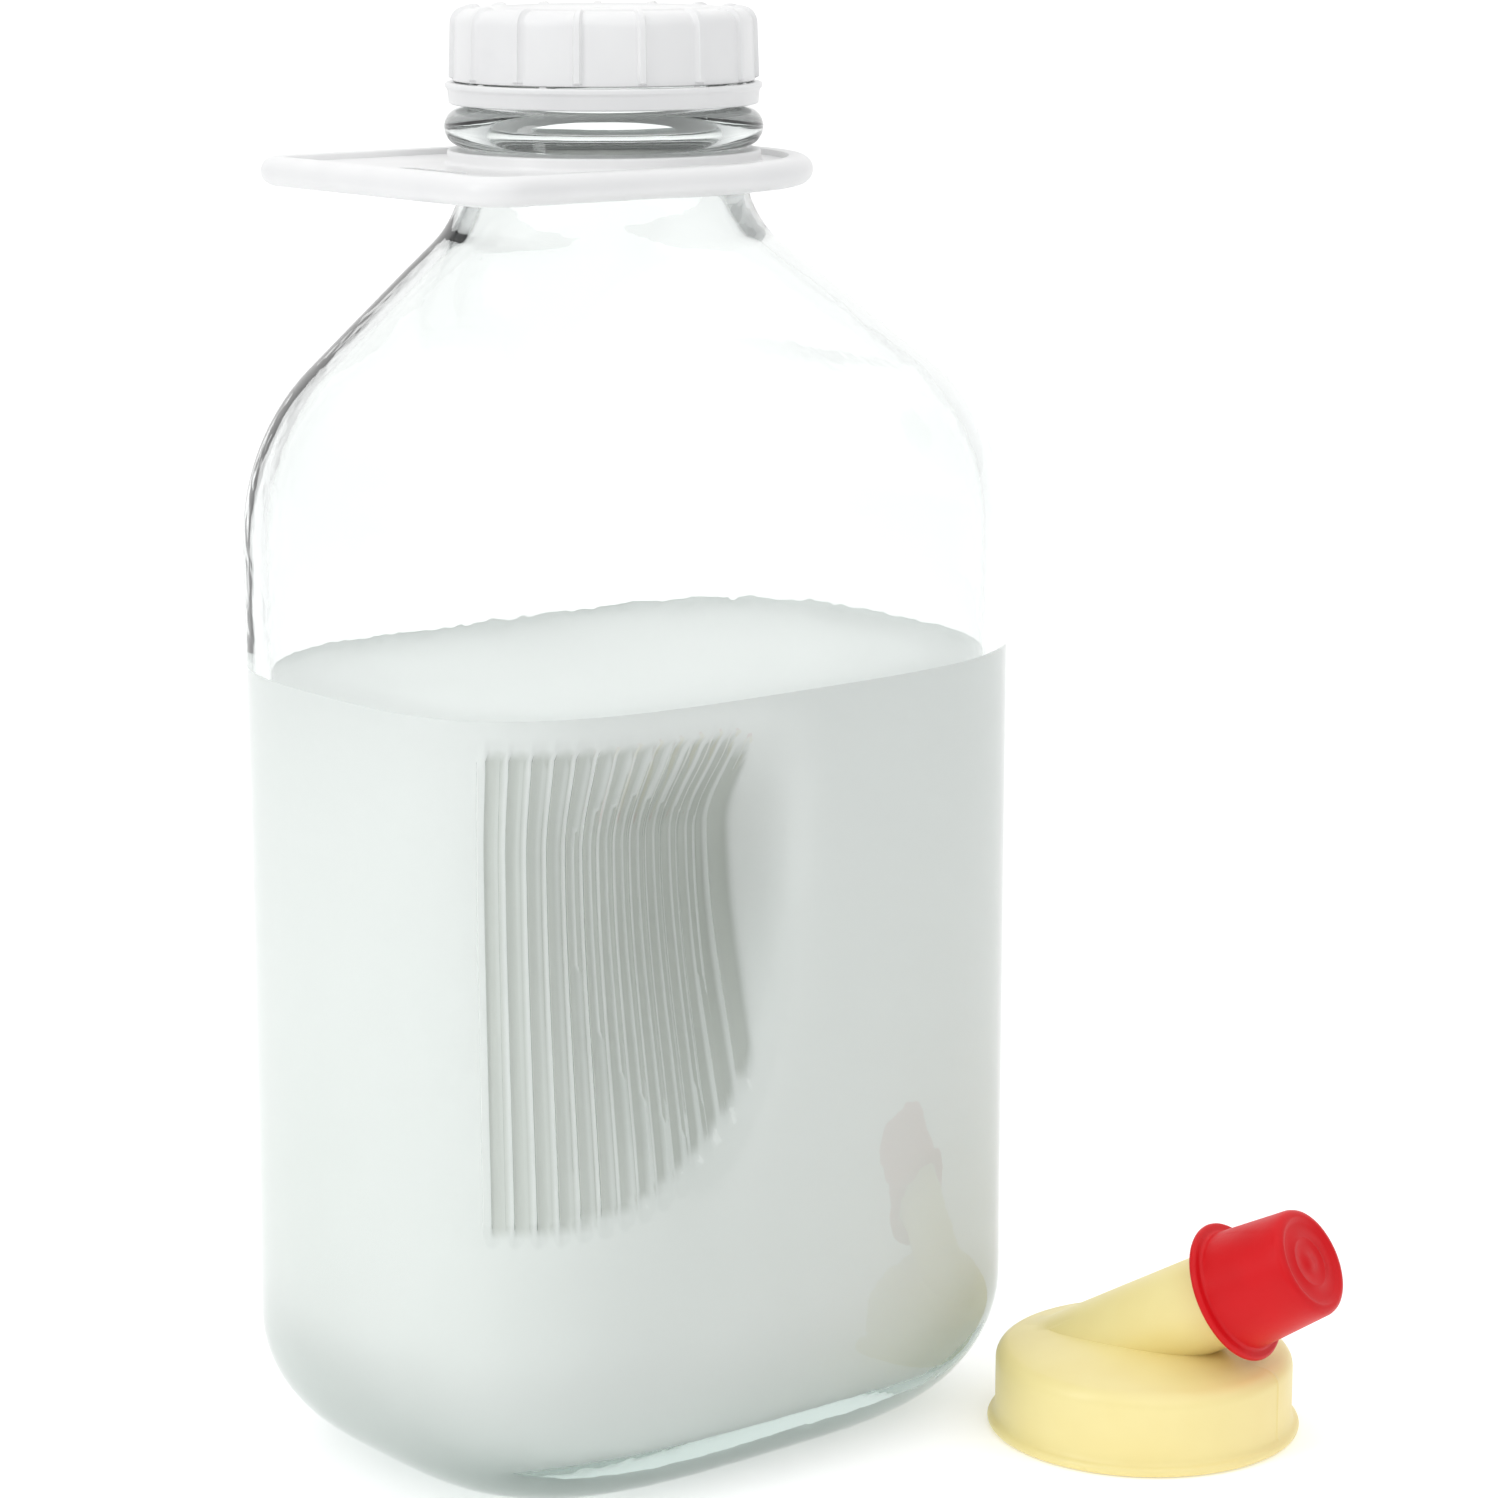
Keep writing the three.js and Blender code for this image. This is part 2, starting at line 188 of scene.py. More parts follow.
def loft(
    name: str, rings: np.ndarray, close: Close = Close.POINTS, marks: dict[str, np.ndarray] | None = None
) -> bpy.types.Object:
    """Extrudes a circle ring by ring through rows of points into one closed skin.

    Args:
        name: The piece's name.
        rings: Rings by columns by three coordinates, in order along the skin.
        close: POINTS fills the first ring with a fan and merges the last ring into one point, BRIDGE
            joins the last ring to the first.
        marks: Numbers to keep on the points for the material, rings by columns, by attribute name.

    Returns:
        The new object, at the origin, with its faces pointing out.
    """
    columns = rings.shape[1]
    deselect_all()
    fill = "TRIFAN" if close is Close.POINTS else "NOTHING"
    bpy.ops.mesh.primitive_circle_add(vertices=columns, radius=1.0, fill_type=fill)
    piece = bpy.context.object
    piece.name = piece.data.name = name
    bpy.ops.object.mode_set(mode="EDIT")
    bpy.ops.mesh.select_mode(type="EDGE")
    bpy.ops.mesh.select_all(action="DESELECT")
    mesh = bmesh.from_edit_mesh(piece.data)
    for key in marks or {}:
        mesh.verts.layers.float.new(key)
    place = mesh.verts.layers.int.new("column")
    for vert in mesh.verts:
        if vert.co.length < 0.5:
            vert.co = Vector(rings[0].mean(0))
            continue
        column = round(math.atan2(vert.co.y, vert.co.x) / (2.0 * math.pi) * columns) % columns
        vert[place] = column
        vert.co = Vector(rings[0][column])
    for edge in mesh.edges:
        edge.select_set(edge.is_boundary or edge.is_wire)
    bmesh.update_edit_mesh(piece.data)
    for number, row in enumerate(rings[1:], 1):
        bpy.ops.mesh.extrude_edges_move()
        mesh = bmesh.from_edit_mesh(piece.data)
        place = mesh.verts.layers.int["column"]
        mesh.verts.ensure_lookup_table()
        fresh = mesh.verts[len(mesh.verts) - columns:]
        for vert in fresh:
            vert.co = Vector(row[vert[place]])
        for key, values in (marks or {}).items():
            layer = mesh.verts.layers.float[key]
            for vert in fresh:
                vert[layer] = values[number][vert[place]]
    bmesh.update_edit_mesh(piece.data)
    if close is Close.POINTS:
        bpy.ops.mesh.merge(type="CENTER")
    else:
        bpy.ops.mesh.select_all(action="DESELECT")
        mesh = bmesh.from_edit_mesh(piece.data)
        for edge in mesh.edges:
            edge.select_set(edge.is_boundary)
        bmesh.update_edit_mesh(piece.data)
        bpy.ops.mesh.bridge_edge_loops()
    bpy.ops.mesh.select_all(action="SELECT")
    bpy.ops.mesh.normals_make_consistent(inside=False)
    if bmesh.from_edit_mesh(piece.data).calc_volume(signed=True) < 0:
        bpy.ops.mesh.flip_normals()
    bpy.ops.object.mode_set(mode="OBJECT")
    piece.data.attributes.remove(piece.data.attributes["column"])
    return piece


def moved(rings: np.ndarray, centre: Sequence[float]) -> np.ndarray:
    """The same rings with their own origin put at a centre."""
    return rings + np.array(centre, float)


def apply_modifier(piece: bpy.types.Object, kind: str, **settings: object) -> None:
    """Adds a modifier with its settings and applies it.

    Args:
        piece: The object that gets it.
        kind: The modifier's type, in capitals.
        settings: Its properties by name.
    """
    pick(piece)
    modifier = piece.modifiers.new(kind.title(), kind)
    for key, value in settings.items():
        setattr(modifier, key, value)
    bpy.ops.object.modifier_apply(modifier=modifier.name)


def cut_or_join(piece: bpy.types.Object, tool: bpy.types.Object, operation: str) -> None:
    """Cuts or joins a piece with a tool body, which is then removed.

    Args:
        piece: The object that is changed.
        tool: The body to cut with or to join on.
        operation: DIFFERENCE, UNION or INTERSECT.
    """
    apply_modifier(piece, "BOOLEAN", object=tool, operation=operation, solver="EXACT")
    bpy.data.objects.remove(tool)


def clean(piece: bpy.types.Object, distance: float = 2e-6) -> None:
    """Merges doubled points and dissolves faces with no area.

    Args:
        piece: The object to clean.
        distance: Points nearer than this become one.
    """
    pick(piece)
    bpy.ops.object.mode_set(mode="EDIT")
    bpy.ops.mesh.select_all(action="SELECT")
    bpy.ops.mesh.remove_doubles(threshold=distance)
    bpy.ops.mesh.dissolve_degenerate(threshold=distance)
    bpy.ops.object.mode_set(mode="OBJECT")


def smooth(piece: bpy.types.Object, degrees: float) -> None:
    """Shades a piece smooth, with edges sharper than an angle left crisp."""
    pick(piece)
    bpy.ops.object.shade_smooth_by_angle(angle=math.radians(degrees))


def finish_piece(
    piece: bpy.types.Object, body: str, node: str, material: bpy.types.Material
) -> None:
    """Gives a piece its material and ties it to the frame.

    Args:
        piece: The finished object.
        body: The body that it rides on.
        node: The node that it stands for.
        material: Its material.
    """
    piece.data.materials.clear()
    piece.data.materials.append(material)
    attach(piece, body)
    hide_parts(node)
    log.info("%s: %d faces on %s", piece.name, len(piece.data.polygons), body)


# ------------------------------------------------------------------ material graphs


class Graph:
    """A node tree with short calls for adding and wiring nodes."""

    def __init__(self, tree: bpy.types.NodeTree) -> None:
        """Starts on a tree, emptied first."""
        self.tree = tree
        tree.nodes.clear()

    def add(self, kind: str, inputs: dict | None = None, **settings: object) -> bpy.types.Node:
        """Adds a node.

        Args:
            kind: The node's type without the ShaderNode prefix.
            inputs: Value or output socket for each input, by name or number.
            settings: The node's own properties.

        Returns:
            The node.
        """
        node = self.tree.nodes.new(kind if kind.startswith("Node") else "ShaderNode" + kind)
        for key, value in settings.items():
            setattr(node, key, value)
        for key, value in (inputs or {}).items():
            if isinstance(value, bpy.types.NodeSocket):
                self.tree.links.new(value, node.inputs[key])
            else:
                node.inputs[key].default_value = value
        return node

    def math(self, operation: str, *values: object) -> bpy.types.NodeSocket:
        """The result of a math node on one to three values or sockets."""
        return self.add("Math", dict(enumerate(values)), operation=operation).outputs[0]

    def noise(self, vector: object, scale: object, detail: float = 2.0) -> bpy.types.NodeSocket:
        """Fractal noise from 0 to 1 at a scale in cycles a metre."""
        inputs = {"Vector": vector, "Scale": scale, "Detail": detail}
        return self.add("TexNoise", inputs).outputs["Fac"]

    def spread(self, value: object, low: float, high: float) -> bpy.types.NodeSocket:
        """Eases from 0 at low to 1 at high, where low may be above high."""
        inputs = {"Value": value, "From Min": low, "From Max": high}
        return self.add("MapRange", inputs, interpolation_type="SMOOTHSTEP").outputs["Result"]

    def mix(self, share: object, first: object, second: object) -> bpy.types.NodeSocket:
        """A colour between two, by a share.

        Args:
            share: 0 for the first and 1 for the second.
            first: A colour or a socket.
            second: A colour or a socket.

        Returns:
            The mixed colour.
        """
        node = self.add("Mix", {"Factor": share}, data_type="RGBA")
        for number, value in ((6, first), (7, second)):
            if isinstance(value, bpy.types.NodeSocket):
                self.tree.links.new(value, node.inputs[number])
            else:
                node.inputs[number].default_value = (*value, 1.0)
        return node.outputs[2]

    def object_point(self) -> bpy.types.NodeSocket:
        """The surface point in the object's own coordinates."""
        return self.add("TexCoord").outputs["Object"]


def new_group(
    name: str, inputs: dict[str, float], outputs: Iterable[str]
) -> tuple[Graph, bpy.types.Node, bpy.types.Node]:
    """Starts a node group that takes a point and named numbers.

    Args:
        name: The group's name.
        inputs: Default of each number that it takes.
        outputs: Names of the numbers that it gives.

    Returns:
        The graph to wire it in, its input node and its output node.
    """
    tree = bpy.data.node_groups.new(name, "ShaderNodeTree")
    graph = Graph(tree)
    tree.interface.new_socket("Point", in_out="INPUT", socket_type="NodeSocketVector")
    for key, value in inputs.items():
        tree.interface.new_socket(key, in_out="INPUT", socket_type="NodeSocketFloat").default_value = value
    for key in outputs:
        tree.interface.new_socket(key, in_out="OUTPUT", socket_type="NodeSocketFloat")
    return graph, graph.add("NodeGroupInput"), graph.add("NodeGroupOutput")


def build_moulded_skin() -> bpy.types.NodeTree:
    """A moulded surface: fine orange peel over slow flow waves, and a slow drift for tint and gloss.

    Returns:
        The node group.
    """
    inputs = {"Peel": 900.0, "Wave": 60.0, "Wave Share": 0.5}
    graph, given, out = new_group("moulded_skin", inputs, ("Height", "Drift"))
    point = given.outputs["Point"]
    peel = graph.noise(point, given.outputs["Peel"], 1.0)
    wave = graph.noise(point, given.outputs["Wave"])
    waved = graph.math("MULTIPLY", wave, given.outputs["Wave Share"])
    height = graph.math("MULTIPLY_ADD", peel, 0.25, waved)
    graph.tree.links.new(height, out.inputs["Height"])
    graph.tree.links.new(graph.spread(wave, 0.3, 0.7), out.inputs["Drift"])
    return graph.tree


def build_handling() -> bpy.types.NodeTree:
    """Faint marks of handling: long hair scuffs and soft finger smudges, each a mask from 0 to 1.

    Returns:
        The node group.
    """
    inputs = {"Smudge Size": 45.0, "Scuff Size": 300.0}
    graph, given, out = new_group("handling", inputs, ("Smudge", "Scuff"))
    point = given.outputs["Point"]
    smudge = graph.spread(graph.noise(point, given.outputs["Smudge Size"], 4.0), 0.52, 0.72)
    hairs = {"Vector": point, "Rotation": (0.4, 0.2, 0.7), "Scale": (1.0, 0.06, 0.35)}
    stretched = graph.add("Mapping", hairs).outputs[0]
    scuff = graph.spread(graph.noise(stretched, given.outputs["Scuff Size"], 5.0), 0.62, 0.74)
    graph.tree.links.new(smudge, out.inputs["Smudge"])
    graph.tree.links.new(graph.math("MULTIPLY", scuff, smudge), out.inputs["Scuff"])
    return graph.tree


class Effects:
    """The shared node groups, built once."""

    def __init__(self) -> None:
        """Builds the groups."""
        self.moulded_skin = build_moulded_skin()
        self.handling = build_handling()

    def use(self, graph: Graph, tree: bpy.types.NodeTree, point: object, **values: float) -> bpy.types.Node:
        """Places a group in a material.

        Args:
            graph: The material's graph.
            tree: The group.
            point: The socket that gives the surface point.
            values: Its own numbers, with underscores for spaces in their names.

        Returns:
            The group's node.
        """
        node = graph.add("Group", node_tree=tree)
        graph.tree.links.new(point, node.inputs["Point"])
        for key, value in values.items():
            node.inputs[key.replace("_", " ")].default_value = value
        return node


def new_material(name: str) -> tuple[bpy.types.Material, Graph]:
    """A new material and the graph to wire it in.

    Args:
        name: Its name.

    Returns:
        The material and its graph.
    """
    material = bpy.data.materials.new(name)
    material.use_nodes = True
    return material, Graph(material.node_tree)


# ------------------------------------------------------------------ finishes


@dataclass(frozen=True)
class ClearGlass:
    """Clear moulded glass, faintly green where light goes a long way through it."""

    tint: Colour = (0.985, 0.995, 0.99)
    thick_tint: Colour = (0.965, 0.985, 0.975)
    soaked: Colour = (0.70, 0.80, 0.77)
    density: float = 15.0
    refraction: float = 1.5
    ripple: float = 0.00012
    dull: float = 0.035

    def material(self, effects: Effects) -> bpy.types.Material:
        """Builds the material.

        Args:
            effects: The shared node groups.

        Returns:
            The glass, which lets lamps through to what it holds.
        """
        material, graph = new_material("clear_glass")
        point = graph.object_point()
        skin = effects.use(graph, effects.moulded_skin, point, Peel=260.0, Wave=38.0, Wave_Share=1.0)
        marks = effects.use(graph, effects.handling, point, Smudge_Size=30.0, Scuff_Size=220.0)
        height = graph.add("SeparateXYZ", {"Vector": point}).outputs["Z"]
        base = graph.spread(height, 0.016, 0.0)
        bump = graph.add("Bump", {"Height": skin.outputs["Height"], "Distance": self.ripple, "Strength": 1.0})
        shader = graph.add("BsdfPrincipled", {
            "Base Color": graph.mix(base, self.tint, self.thick_tint),
            "Roughness": graph.math("MULTIPLY", marks.outputs["Smudge"], self.dull),
            "IOR": self.refraction,
            "Transmission Weight": 1.0,
            "Normal": bump.outputs["Normal"],
        })
        clear = graph.add("BsdfTransparent", {"Color": (0.97, 0.985, 0.98, 1.0)})
        lamp = graph.add("LightPath").outputs["Is Shadow Ray"]
        surface = graph.add("MixShader", {0: lamp, 1: shader.outputs[0], 2: clear.outputs[0]})
        soaked = graph.add("VolumeAbsorption", {"Color": (*self.soaked, 1.0), "Density": self.density})
        graph.add("OutputMaterial", {"Surface": surface.outputs[0], "Volume": soaked.outputs[0]})
        return material


@dataclass(frozen=True)
class Milk:
    """Whole milk: nearly white, with painted shade that greys it towards the bottom and darkens it behind the
    grip's grooves and in its hollow.
    """

    fresh: Colour = (0.935, 0.95, 0.935)
    # painted shade: the greyer colour that the milk takes towards the bottom
    painted_low_shade: Colour = (0.885, 0.91, 0.885)
    # painted shade: the darker colour behind the grip's grooves and, more weakly, in its hollow
    painted_groove_shade: Colour = (0.64, 0.665, 0.62)
    groove_share: float = 0.8
    hollow_shade_share: float = 0.3
    gloss: float = 0.3

    def material(self, effects: Effects) -> bpy.types.Material:
        """Builds the material.

        Args:
            effects: The shared node groups.

        Returns:
            The milk.
        """
        material, graph = new_material("milk")
        point = graph.object_point()
        skin = effects.use(graph, effects.moulded_skin, point, Peel=120.0, Wave=22.0, Wave_Share=1.0)
        height = graph.add("SeparateXYZ", {"Vector": point}).outputs["Z"]
        # Painted shade: the milk greys towards the bottom, and the slow drift varies its strength at random.
        low_shade_share = graph.spread(height, 0.15, 0.01)
        share = graph.math("MULTIPLY", low_shade_share, graph.math("MULTIPLY_ADD", skin.outputs["Drift"], 0.4, 0.6))
        # Painted shade: masks stored on the milk's points darken it behind the grooves and in the hollow.
        groove = graph.add("Attribute", attribute_name="groove").outputs["Fac"]
        hollow = graph.add("Attribute", attribute_name="hollow").outputs["Fac"]
        shaded = graph.math("MULTIPLY", hollow, self.hollow_shade_share)
        pressed = graph.math("MULTIPLY_ADD", groove, self.groove_share, shaded)
        open_milk = graph.mix(share, self.fresh, self.painted_low_shade)
        shader = graph.add("BsdfPrincipled", {
            "Base Color": graph.mix(graph.math("MINIMUM", pressed, 1.0), open_milk, self.painted_groove_shade),
            "Roughness": graph.math("MULTIPLY_ADD", skin.outputs["Drift"], 0.08, self.gloss),
            "IOR": 1.35,
        })
        graph.add("OutputMaterial", {"Surface": shader.outputs[0]})
        return material


@dataclass(frozen=True)
class MouldedPlastic:
    """A satin moulding: its colour drifts a little, with fine peel and faint scuffs."""

    name: str
    colour: Colour
    shade: Colour
    gloss: float
    peel: float = 900.0
    peel_height: float = 0.00005
    shine: float = 0.5

    def material(self, effects: Effects) -> bpy.types.Material:
        """Builds the material.

        Args:
            effects: The shared node groups.

        Returns:
            The plastic.
        """
        material, graph = new_material(self.name)
        point = graph.object_point()
        skin = effects.use(graph, effects.moulded_skin, point, Peel=self.peel, Wave=70.0, Wave_Share=0.8)
        marks = effects.use(graph, effects.handling, point, Smudge_Size=60.0, Scuff_Size=420.0)
        drifted = graph.math("MULTIPLY", skin.outputs["Drift"], 0.55)
        worn = graph.math("MULTIPLY_ADD", marks.outputs["Scuff"], 0.3, drifted)
        rough = graph.math("MULTIPLY_ADD", marks.outputs["Smudge"], 0.1, self.gloss)
        grain = {"Height": skin.outputs["Height"], "Distance": self.peel_height, "Strength": 1.0}
        bump = graph.add("Bump", grain)
        shader = graph.add("BsdfPrincipled", {
            "Base Color": graph.mix(worn, self.colour, self.shade),
            "Roughness": graph.math("MULTIPLY_ADD", marks.outputs["Scuff"], 0.15, rough),
            "IOR": 1.5,
            "Specular IOR Level": self.shine,
            "Normal": bump.outputs["Normal"],
        })
        graph.add("OutputMaterial", {"Surface": shader.outputs[0]})
        return material


WHITE_PLASTIC = MouldedPlastic("white_polyethylene", (0.84, 0.84, 0.84), (0.79, 0.79, 0.795), 0.34)
LINER_FOAM = MouldedPlastic("liner_foam", (0.78, 0.78, 0.75), (0.7, 0.7, 0.67), 0.75, 2400.0, 0.00012)
YELLOW_VINYL = MouldedPlastic("yellow_vinyl", (0.9, 0.78, 0.36), (0.86, 0.72, 0.3), 0.36, 700.0, 0.00006)
RED_VINYL = MouldedPlastic("red_vinyl", (0.66, 0.006, 0.01), (0.58, 0.005, 0.008), 0.4, 1100.0, 0.00008, 0.22)


# ------------------------------------------------------------------ bottle


@dataclass(frozen=True)
class Section:
    """The bottle's outline at one height.

    Args:
        z: Height.
        long: Half size along X.
        short: Half size along Y.
        fullness: Exponent of the outline, where 2 is an ellipse.
        shift: X of the outline's centre.
    """

    z: float
    long: float
    short: float
    fullness: float
    shift: float = 0.0

    def radius(self, angles: np.ndarray) -> np.ndarray:
        """Distance from the centre to the outline in each direction.

        Args:
            angles: The directions.

        Returns:
            One distance for each.
        """
        across = np.abs(np.cos(angles) / self.long) ** self.fullness
        along = np.abs(np.sin(angles) / self.short) ** self.fullness
        return (across + along) ** (-1.0 / self.fullness)

    def points(self, angles: np.ndarray) -> np.ndarray:
        """The outline's points, one for each direction.

        Args:
            angles: The directions.

        Returns:
            Points by three coordinates.
        """
        if self.long < 1e-9:
            return np.tile([self.shift, 0.0, self.z], (len(angles), 1))
        radius = self.radius(angles)
        level = np.full(len(angles), self.z)
        return np.column_stack([self.shift + radius * np.cos(angles), radius * np.sin(angles), level])


@dataclass
class Grip:
    """The ribbed finger hollow pressed into each long side, in the bottle's own coordinates."""

    left: float = -66 * MM
    deepest: float = -13 * MM
    right: float = 3 * MM
    low: float = 42 * MM
    crest: float = 119 * MM
    high: float = 141 * MM
    depth: float = 11 * MM
    ribs: int = 15
    first_rib: float = 36.2 * MM
    pitch: float = 3.93 * MM
    groove: float = 1.2 * MM
    groove_low: float = 54 * MM
    groove_high: float = 137.4 * MM
    steps: int = 7

    def hollow(self, x: np.ndarray, z: float) -> np.ndarray:
        """How far the plain hollow presses the side in, at places along the side and a height.

        Args:
            x: Places along the side.
            z: Height.

        Returns:
            Depths.
        """
        drop = np.clip((self.crest + 3 * MM - z) / (80 * MM), 0.0, 1.0) ** 2.2
        right = self.right - 20 * MM * drop
        along = smoothstep(self.left, self.deepest, x) * (1.0 - smoothstep(right - 16 * MM, right, x))
        up = smoothstep(self.low, self.crest, z) * (1.0 - smoothstep(self.crest, self.high, z))
        return self.depth * along * up

    def grooves(self, x: np.ndarray, girth: np.ndarray, z: float) -> np.ndarray:
        """How far the grooves between the ribs go below the hollow.

        Args:
            x: Places along the side.
            girth: The same places as distances round the outline from the bottle's gripped end.
            z: Height.

        Returns:
            Depths, 0 on the ribs and outside them.
        """
        turn = (girth - self.first_rib) / self.pitch
        number = np.floor(turn)
        away = np.abs(turn - number - 0.5)
        inside = (number >= 0) & (number < self.ribs - 1)
        across = 1.0 - smoothstep(0.24, 0.46, away)
        foot = np.clip((x + 50 * MM) / (45.2 * MM), 0.0, 1.0)
        low = self.groove_low + 38 * MM * (1.0 - np.sqrt(1.0 - foot**2)) + 5 * MM * away**2
        brow = np.clip((x + 17 * MM) / (12 * MM), 0.0, 1.0)
        high = self.groove_high - 15 * MM * (1.0 - np.sqrt(1.0 - brow**2)) - 5 * MM * away**2
        ends = smoothstep(-0.8 * MM, 0.9 * MM, z - low) * smoothstep(-0.8 * MM, 0.9 * MM, high - z)
        return self.groove * across * ends * inside


@dataclass
class GlassBottle:
    """The blown bottle: oblong body, arched shoulder, round neck with bead, locking ring and thread."""

    centre: Vector = field(default_factory=lambda: sum(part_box("glass_bottle"), Vector()) / 2)
    half_long: float = 66.5 * MM
    half_short: float = 48 * MM
    fullness: float = 3.4
    wall: float = 3.7 * MM
    heel: float = 24 * MM
    rest_ring: float = 4 * MM
    push_up: float = 5 * MM
    base_thick: float = 6 * MM
    shoulder_foot: float = 165 * MM
    shoulder_arc: float = 40 * MM
    shoulder_slope: float = math.radians(48)
    neck_arc: float = 14 * MM
    shoulder_reach: float = 41.7 * MM
    neck_shift: float = -5.5 * MM
    neck_r: float = 25 * MM
    bore_r: float = 20.5 * MM
    bead_z: float = 236.4 * MM
    bead_r: float = 27.75 * MM
    bead_round: float = 3.3 * MM
    finish_r: float = 23 * MM
    lock_ring_r: float = 25 * MM
    lock_ring_z: float = 242.6 * MM
    thread_proud: float = 1.0 * MM
    thread_lead: float = 12 * MM
    thread_starts: int = 3
    lip_round: float = 1.4 * MM
    milk_top: float = field(default_factory=lambda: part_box("milk")[1].z)
    lip_z: float = field(default_factory=lambda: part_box("glass_bottle")[1].z)
    coarse_step: float = 2.6 * MM
    stipple: float = 0.45 * MM
    inner_share: float = 0.7
    grip: Grip = field(default_factory=Grip)

    def __post_init__(self) -> None:
        """Works out the columns of points that every section shares."""
        self.origin = (self.centre.x, self.centre.y, 0.0)
        self.neck_axis = (self.centre.x + self.neck_shift, self.centre.y)
        fine = np.linspace(0.0, math.pi, 4001)
        body = self.body_section(self.half_long, 0.0, 0.0)
        edge = body.points(math.pi - fine)
        walked = np.concatenate([[0.0], np.cumsum(np.linalg.norm(np.diff(edge, axis=0), axis=1))])
        grip = self.grip
        first = grip.first_rib - grip.pitch / 2
        last = grip.first_rib + (grip.ribs - 0.5) * grip.pitch
        ribbed = np.linspace(first, last, grip.ribs * grip.steps + 1)
        before = np.linspace(0.0, first, round(first / self.coarse_step), endpoint=False)
        beyond = walked[-1] - last
        after = last + np.linspace(0.0, beyond, round(beyond / self.coarse_step) + 1)[1:]
        half_girth = np.concatenate([before, ribbed, after])
        half_turn = np.interp(half_girth, walked, fine)
        self.girth = np.concatenate([half_girth, half_girth[-2:0:-1]])
        self.angles = math.pi + np.concatenate([half_turn, 2.0 * math.pi - half_turn[-2:0:-1]])

    def body_section(self, half: float, z: float, inset: float) -> Section:
        """The body's outline with a half length, drawn in by an inset."""
        short = half * self.half_short / self.half_long
        return Section(z, half - inset, short - inset, self.fullness)

    def shoulder_section(self, spread: float, z: float, inset: float) -> Section:
        """The outline on the shoulder, from the neck at spread 0 to the body at 1.

        Args:
            spread: Place between neck and body.
            z: Height.
            inset: How far it is drawn in.

        Returns:
            The outline.
        """
        long = self.neck_r + (self.half_long - self.neck_r) * spread - inset
        short = self.neck_r + (self.half_short - self.neck_r) * spread - inset
        fullness = 2.0 + (self.fullness - 2.0) * math.sqrt(spread)
        return Section(z, long, short, fullness, self.neck_shift * (1.0 - spread))

    def round_section(self, point: tuple[float, float]) -> Section:
        """A round outline about the neck's axis, from a radius and a height."""
        return Section(point[1], point[0], point[0], 2.0, self.neck_shift)

    def shoulder_curve(self, arch_steps: int, straight_steps: int, neck_steps: int) -> Profile:
        """The shoulder's S-curve as pairs of spread and height, from the body up to the neck.

        Args:
            arch_steps: Steps round the upper arch.
            straight_steps: Steps down its flank.
            neck_steps: Steps into the neck.

        Returns:
            The pairs.
        """
        slope = math.degrees(self.shoulder_slope)
        arch = [(self.shoulder_arc - r, z) for r, z in arc(0, 0, self.shoulder_arc, 0, slope, arch_steps)]
        both = self.shoulder_arc + self.neck_arc
        turn_in = both * (1.0 - math.cos(self.shoulder_slope))
        flank = (self.shoulder_reach - turn_in) / math.sin(self.shoulder_slope)
        rise = both * math.sin(self.shoulder_slope) + flank * math.cos(self.shoulder_slope)
        throat = [
            (self.shoulder_reach - self.neck_arc + r, rise - z)
            for r, z in arc(0, 0, self.neck_arc, slope, 0, neck_steps)
        ]
        points = [*arch, *straight(arch[-1], throat[0], straight_steps), *throat[1:]]
        return [(1.0 - x / self.shoulder_reach, self.shoulder_foot + z) for x, z in points]

    def side_heights(self, step: float) -> list[float]:
        """Heights up the body's sides, close together over the grip.

        Args:
            step: Distance between heights over the grip.

        Returns:
            The heights, rising.
        """
        grip = self.grip
        low, high = grip.groove_low - 3 * MM, grip.high + 1 * MM
        close = np.linspace(low, high, round((high - low) / step) + 1)
        below = np.linspace(self.heel, low, 8, endpoint=False)[1:]
        above = np.linspace(high, self.shoulder_foot, 6, endpoint=False)[1:]
        return [*below, *close, *above]

    def pressed(self, section: Section, groove_share: float) -> np.ndarray:
        """A section's points with the grip pressed into both long sides.

        Args:
            section: The plain outline.
            groove_share: Part of the grooves' full depth that reaches this skin.

        Returns:
            The points, in the bottle's own coordinates.
        """
        points = section.points(self.angles)
        x, y = points[:, 0], points[:, 1]
        depth = self.grip.hollow(x, section.z)
        depth = depth + groove_share * self.grip.grooves(x, self.girth, section.z)
        points[:, 1] = y - np.sign(y) * np.minimum(np.abs(y), depth)
        return points

    def underside(self) -> list[np.ndarray]:
        """Rings from the middle of the pushed-up base out to the stippled bearing ring and the heel.

        Returns:
            The rings.
        """
        rest_out = self.half_long - self.heel
        rest_in = rest_out - self.rest_ring
        shares = (0.12, 0.3, 0.5, 0.68, 0.82, 0.92, 0.97)
        dome = [(rest_in * s, self.push_up * (1.0 - s**2.6)) for s in shares]
        flat = [(rest_in + self.rest_ring * s, 0.0) for s in (0.0, 0.33, 0.66, 1.0)]
        heel = arc(rest_out, self.heel, self.heel, -90, 0, 14)[1:]
        chance = np.random.default_rng(7)
        rings = []
        for half, z in [*dome, *flat, *heel]:
            points = self.body_section(half, z, 0.0).points(self.angles)
            if z < 1.6 * MM and half >= rest_in:
                bumps = chance.uniform(0.0, 1.0, len(self.angles)) ** 0.7
                points[:, 2] += self.stipple * bumps * (1.0 if z > 0 else 0.6)
            rings.append(points)
        return rings

